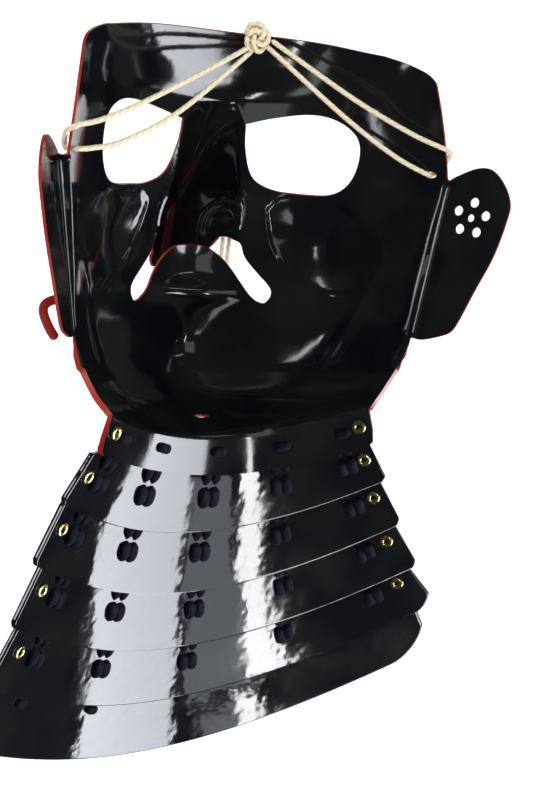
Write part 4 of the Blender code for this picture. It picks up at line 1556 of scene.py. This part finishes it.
@dataclass(frozen=True)
class HangingCord:
    """The twisted cord: a doubled loop to each temple, two ends that hang outside, and the knot."""

    diameter: float = 2.2
    plies: int = 3
    pitch: float = 6.2
    core: float = 0.76
    lobe: float = 0.30
    knot_middle: Place = (-9.8, -39.8, 55.8)
    loop_left: Points = (
        (-7.2, -40.6, 53.2), (-3.6, -41.2, 49.9), (25.2, -27.4, 35.7), (54.3, -13.8, 22.3),
        (74.1, -3.6, 14.8), (84.4, 1.4, 12.4), (86.8, 4.0, 11.6), (88.2, 3.8, 11.0), (89.4, 1.8, 9.8),
        (89.2, -2.0, 7.0), (88.0, -5.4, 4.4), (86.4, -7.6, 2.9), (84.2, -6.3, 2.7), (82.0, -5.0, 2.9),
        (76.0, -6.6, 3.6), (60.1, -14.6, 7.0), (31.8, -26.6, 20.5), (-4.4, -42.0, 46.6), (-7.6, -41.6, 50.6))
    loop_right: Points = (
        (-16.5, -40.6, 55.4), (-49.9, -21.0, 33.0), (-72.0, -6.2, 20.2), (-84.0, 2.4, 14.9),
        (-86.2, 3.6, 13.8), (-87.6, 3.2, 13.0), (-88.8, 1.2, 11.4), (-88.9, -2.3, 8.0),
        (-88.0, -5.6, 4.6), (-86.4, -7.4, 2.9), (-84.2, -6.3, 2.7), (-82.0, -5.2, 2.9),
        (-68.9, -12.7, 9.6), (-48.2, -24.0, 24.6), (-18.6, -40.6, 50.0), (-14.6, -41.0, 52.6))
    tail: Points = (
        (-9.2, -43.6, 60.9), (-9.3, -48.6, 61.4), (-9.6, -52.6, 57.5), (-10.2, -55.6, 49.0),
        (-10.8, -59.2, 38.0), (-12.0, -63.0, 26.0), (-13.3, -65.2, 16.0), (-15.4, -68.0, 5.0),
        (-17.0, -72.2, -8.0), (-18.6, -77.0, -20.0), (-19.6, -80.8, -32.0), (-19.6, -82.2, -44.0),
        (-19.5, -82.6, -54.0))
    tail_shift: Place = (-3.1, 0.4, 0.0)

    def rope(self, name: str, points: list[Vector]) -> bpy.types.Object:
        """Lays a twisted cord along some points."""
        track = free_track(points, Vector((0.1, 1, 0.1)))
        radius, length = self.diameter / 2, track.along[-1]

        def profile(along: np.ndarray, turn: np.ndarray) -> tuple[np.ndarray, np.ndarray]:
            """Round plies side by side, turning as they go, drawn in at both ends."""
            lobe = np.abs(np.cos(self.plies / 2 * (turn - math.tau * along / self.pitch)))
            near_end = np.clip(np.minimum(along, length - along) / 0.8, 0.25, 1)
            reach = radius * (self.core + self.lobe * lobe**0.8) * near_end
            return reach * np.cos(turn), reach * np.sin(turn)

        return swept(name, track, profile, 24, CREAM)

    def lay(self, name: str, route: Sequence[Vector]) -> None:
        """Makes one free cord.

        Args:
            name: The piece's name, which is its CAD node's with another first word.
            route: The points that it follows.
        """
        points = [*run_through(route, 0.5), Vector(route[-1])]
        piece = finished(self.rope(f"twisted_{name}", points), Slot.CORD, f"cord_{name}")

    def knot(self) -> bpy.types.Object:
        """The knot: three turns that cross over and under each other, drawn tight."""
        middle = Vector(self.knot_middle)
        points = []
        for i in range(361):
            t = math.tau * i / 360
            out = 1.85 * math.cos(4 * t + 0.6)
            points.append(middle + Vector(((3.5 + out) * math.cos(3 * t) + 0.8, 1.9 * math.sin(4 * t + 0.6),
                                           (4.2 + out) * math.sin(3 * t))))
        return finished(self.rope("tied_knot", points), Slot.CORD, "cord_knot")

    def build(self) -> None:
        """Makes the cords and the knot."""
        knot = self.knot()
        self.lay("left", self.loop_left)
        self.lay("right", self.loop_right)
        self.lay("tail_near", self.tail)
        shift = Vector(self.tail_shift)
        self.lay("tail_far", [Vector(p) + shift for p in self.tail])


# ---- The studio ----


def stood(name: str, data: bpy.types.ID, at: Vector, facing: Quaternion, roll: float) -> bpy.types.Object:
    """Puts a lamp or a camera in the scene, turned about its own axis by roll degrees."""
    item = bpy.data.objects.new(name, data)
    item.location = at
    item.rotation_mode = "QUATERNION"
    item.rotation_quaternion = facing @ Quaternion((0, 0, 1), math.radians(roll))
    bpy.context.scene.collection.objects.link(item)
    return item


@dataclass(frozen=True)
class Softbox:
    """A rectangular light that faces the guard, placed by its bearing.

    Attributes:
        name: The light's name.
        bearing: Degrees round from +Y towards +X.
        height: Degrees above the level.
        width: In metres.
        tall: In metres.
        glow: Its brightness.
        tint: Its colour.
        mirrored: Whether glossy faces show it.
        roll: How far it is turned about its own axis, in degrees.
        distance: In metres from the point that it faces.
        target: That point, or None for the one that the camera faces.
        upright: Whether it stands upright instead of facing that point.
        only_on: A word in the names of the pieces that it lights, or None for all.
    """

    name: str
    bearing: float
    height: float
    width: float
    tall: float
    glow: float
    tint: Rgb = (1.0, 1.0, 1.0)
    mirrored: bool = True
    roll: float = 0.0
    distance: float = 1.6
    target: Place | None = None
    upright: bool = False
    only_on: str | None = None

    def place(self, middle: Vector) -> None:
        """Puts the light in the scene, facing its target or else the middle."""
        aim = Vector(self.target) if self.target else middle
        a, e = math.radians(self.bearing), math.radians(self.height)
        way = Vector((math.sin(a) * math.cos(e), math.cos(a) * math.cos(e), math.sin(e)))
        lamp = bpy.data.lights.new(self.name, "AREA")
        lamp.shape = "RECTANGLE"
        lamp.size, lamp.size_y = self.width, self.tall
        lamp.energy = self.glow * math.pi * self.width * self.tall
        lamp.color = self.tint
        facing = Vector((way.x, way.y, 0.0 if self.upright else way.z)).to_track_quat("Z", "Y")
        item = stood(self.name, lamp, aim + way * self.distance, facing, self.roll)
        item.visible_glossy = self.mirrored
        if self.only_on:
            lit = bpy.data.collections.new(f"{self.name}_lit")
            for piece in bpy.context.scene.objects:
                if piece.type == "MESH" and self.only_on in piece.name:
                    lit.objects.link(piece)
            item.light_linking.receiver_collection = lit


@dataclass(frozen=True)
class Studio:
    """The camera, the lights and the pale floor."""

    eye: Place = (0.2603, 0.5108, 0.0141)
    aim: Place = (-0.0042, 0.0068, -0.0971)
    roll: float = 4.79
    lens: float = 60.75
    floor_z: float = -0.75
    wall_y: float = -2.2
    world_strength: tuple[float, float] = (0.06, 1.0)
    lights: tuple[Softbox, ...] = (
        Softbox("wide_window", -56.8, -38.5, 0.81, 1.56, 11.5, (0.90, 0.93, 1.0), distance=1.71,
                upright=True),
        Softbox("middle_card", -27.0, -44.5, 0.086, 0.20, 2.2, (0.86, 0.92, 1.0), distance=0.38,
                target=(-0.0095, -0.041, -0.152), only_on="lame"),
        Softbox("narrow_window", -10.5, -44.5, 0.028, 0.20, 20.0, (0.97, 0.98, 1.0), roll=3.0, distance=0.36,
                target=(-0.0268, -0.041, -0.152), only_on="lame"),
        Softbox("last_card", -18.0, -53.0, 0.050, 0.12, 2.2, (0.86, 0.92, 1.0), distance=0.38,
                target=(-0.047, -0.080, -0.291), only_on="lame_5"),
        Softbox("last_window", -6.0, -55.0, 0.020, 0.12, 20.0, (0.97, 0.98, 1.0), distance=0.36,
                target=(-0.066, -0.074, -0.281), only_on="lame_5"),
        Softbox("flange_window", -10.0, -15.0, 0.018, 0.14, 18.0, (0.97, 0.98, 1.0), distance=0.36,
                target=(-0.0145, -0.027, -0.131)),
        Softbox("low_card", 17.0, -37.0, 0.26, 0.30, 2.8, (0.86, 0.95, 0.92), only_on="face"),
        Softbox("tube", 65.0, 10.0, 0.07, 0.36, 9.0, (0.90, 0.96, 1.0), only_on="face"),
        Softbox("room_card", 4.0, 6.0, 0.75, 0.95, 1.2, (0.86, 0.95, 0.88), only_on="face"),
        Softbox("high_strip", -38.0, 31.0, 1.0, 0.05, 9.0, only_on="face"),
        Softbox("side_window", 90.5, 19.0, 0.34, 0.44, 11.0, (0.92, 0.96, 1.0), only_on="lame"),
        Softbox("near_fill", 24.0, 42.0, 1.1, 1.1, 5.4, (1.0, 0.98, 0.95), mirrored=False),
        Softbox("outer_key", 165.0, 38.0, 1.2, 1.2, 3.5, mirrored=False),
        Softbox("outer_fill", -130.0, 10.0, 1.0, 1.0, 2.0, mirrored=False),
    )

    def camera(self) -> None:
        """Places the camera."""
        data = bpy.data.cameras.new("camera")
        data.sensor_width = 36
        data.lens = self.lens
        data.clip_start, data.clip_end = 0.01, 50
        eye = Vector(self.eye)
        facing = (Vector(self.aim) - eye).to_track_quat("-Z", "Y")
        bpy.context.scene.camera = stood("camera", data, eye, facing, self.roll)

    def world(self) -> None:
        """Fills the studio with dim light and leaves its far walls pale."""
        world = bpy.data.worlds.new("studio")
        world.use_nodes = True
        graph = Graph(world.node_tree)
        shader = world.node_tree.nodes["Background"]
        seen = graph.add("ShaderNodeLightPath").outputs["Is Camera Ray"]
        strength = graph.ramp(seen, 0.0, 1.0, self.world_strength)
        graph.feed(shader, {"Strength": strength, "Color": (1.0, 1.0, 1.0, 1.0)})
        bpy.context.scene.world = world

    def floor(self) -> None:
        """Lays the pale floor and stands a pale wall beyond the guard."""
        paper, graph, shader = new_material("pale_paper")
        shade = graph.blend(graph.noise(graph.place(), 3.0), (0.93, 0.93, 0.93), (0.96, 0.96, 0.96))
        graph.feed(shader, {"Base Color": shade, "Roughness": 0.9, "Emission Color": (1.0, 1.0, 1.0, 1.0),
                            "Emission Strength": 0.55})
        bpy.ops.object.select_all(action="DESELECT")
        bpy.ops.mesh.primitive_plane_add(size=9.0, location=(0, 0, self.floor_z))
        floor = bpy.context.object
        floor.name = "floor"
        floor.data.materials.append(paper)
        floor.visible_glossy = False
        bpy.ops.mesh.primitive_plane_add(size=1.0, location=(0, self.wall_y, 0.2))
        wall = bpy.context.object
        with editing():
            bpy.ops.transform.resize(value=(7.5, 2.6, 1.0))
        wall.rotation_euler = (math.radians(90), 0, 0)
        bpy.ops.object.transform_apply(location=True, rotation=True, scale=True)
        wall.name = "backdrop"
        wall.data.materials.append(paper)

    def build(self) -> None:
        """Sets the studio up."""
        self.camera()
        self.world()
        self.floor()
        for light in self.lights:
            light.place(Vector(self.aim))
        bpy.context.scene.view_settings.view_transform = "Standard"


def main() -> None:
    """Builds every piece and then the studio."""
    logging.basicConfig(level=logging.INFO, format="%(name)s: %(message)s")
    HangingCord().build()
    FacePlate().build()
    ThroatGuard().build()
    Eyelets().build()
    Lacing().build()
    Pegs().build()
    Studio().build()


if __name__ == "__main__":
    main()
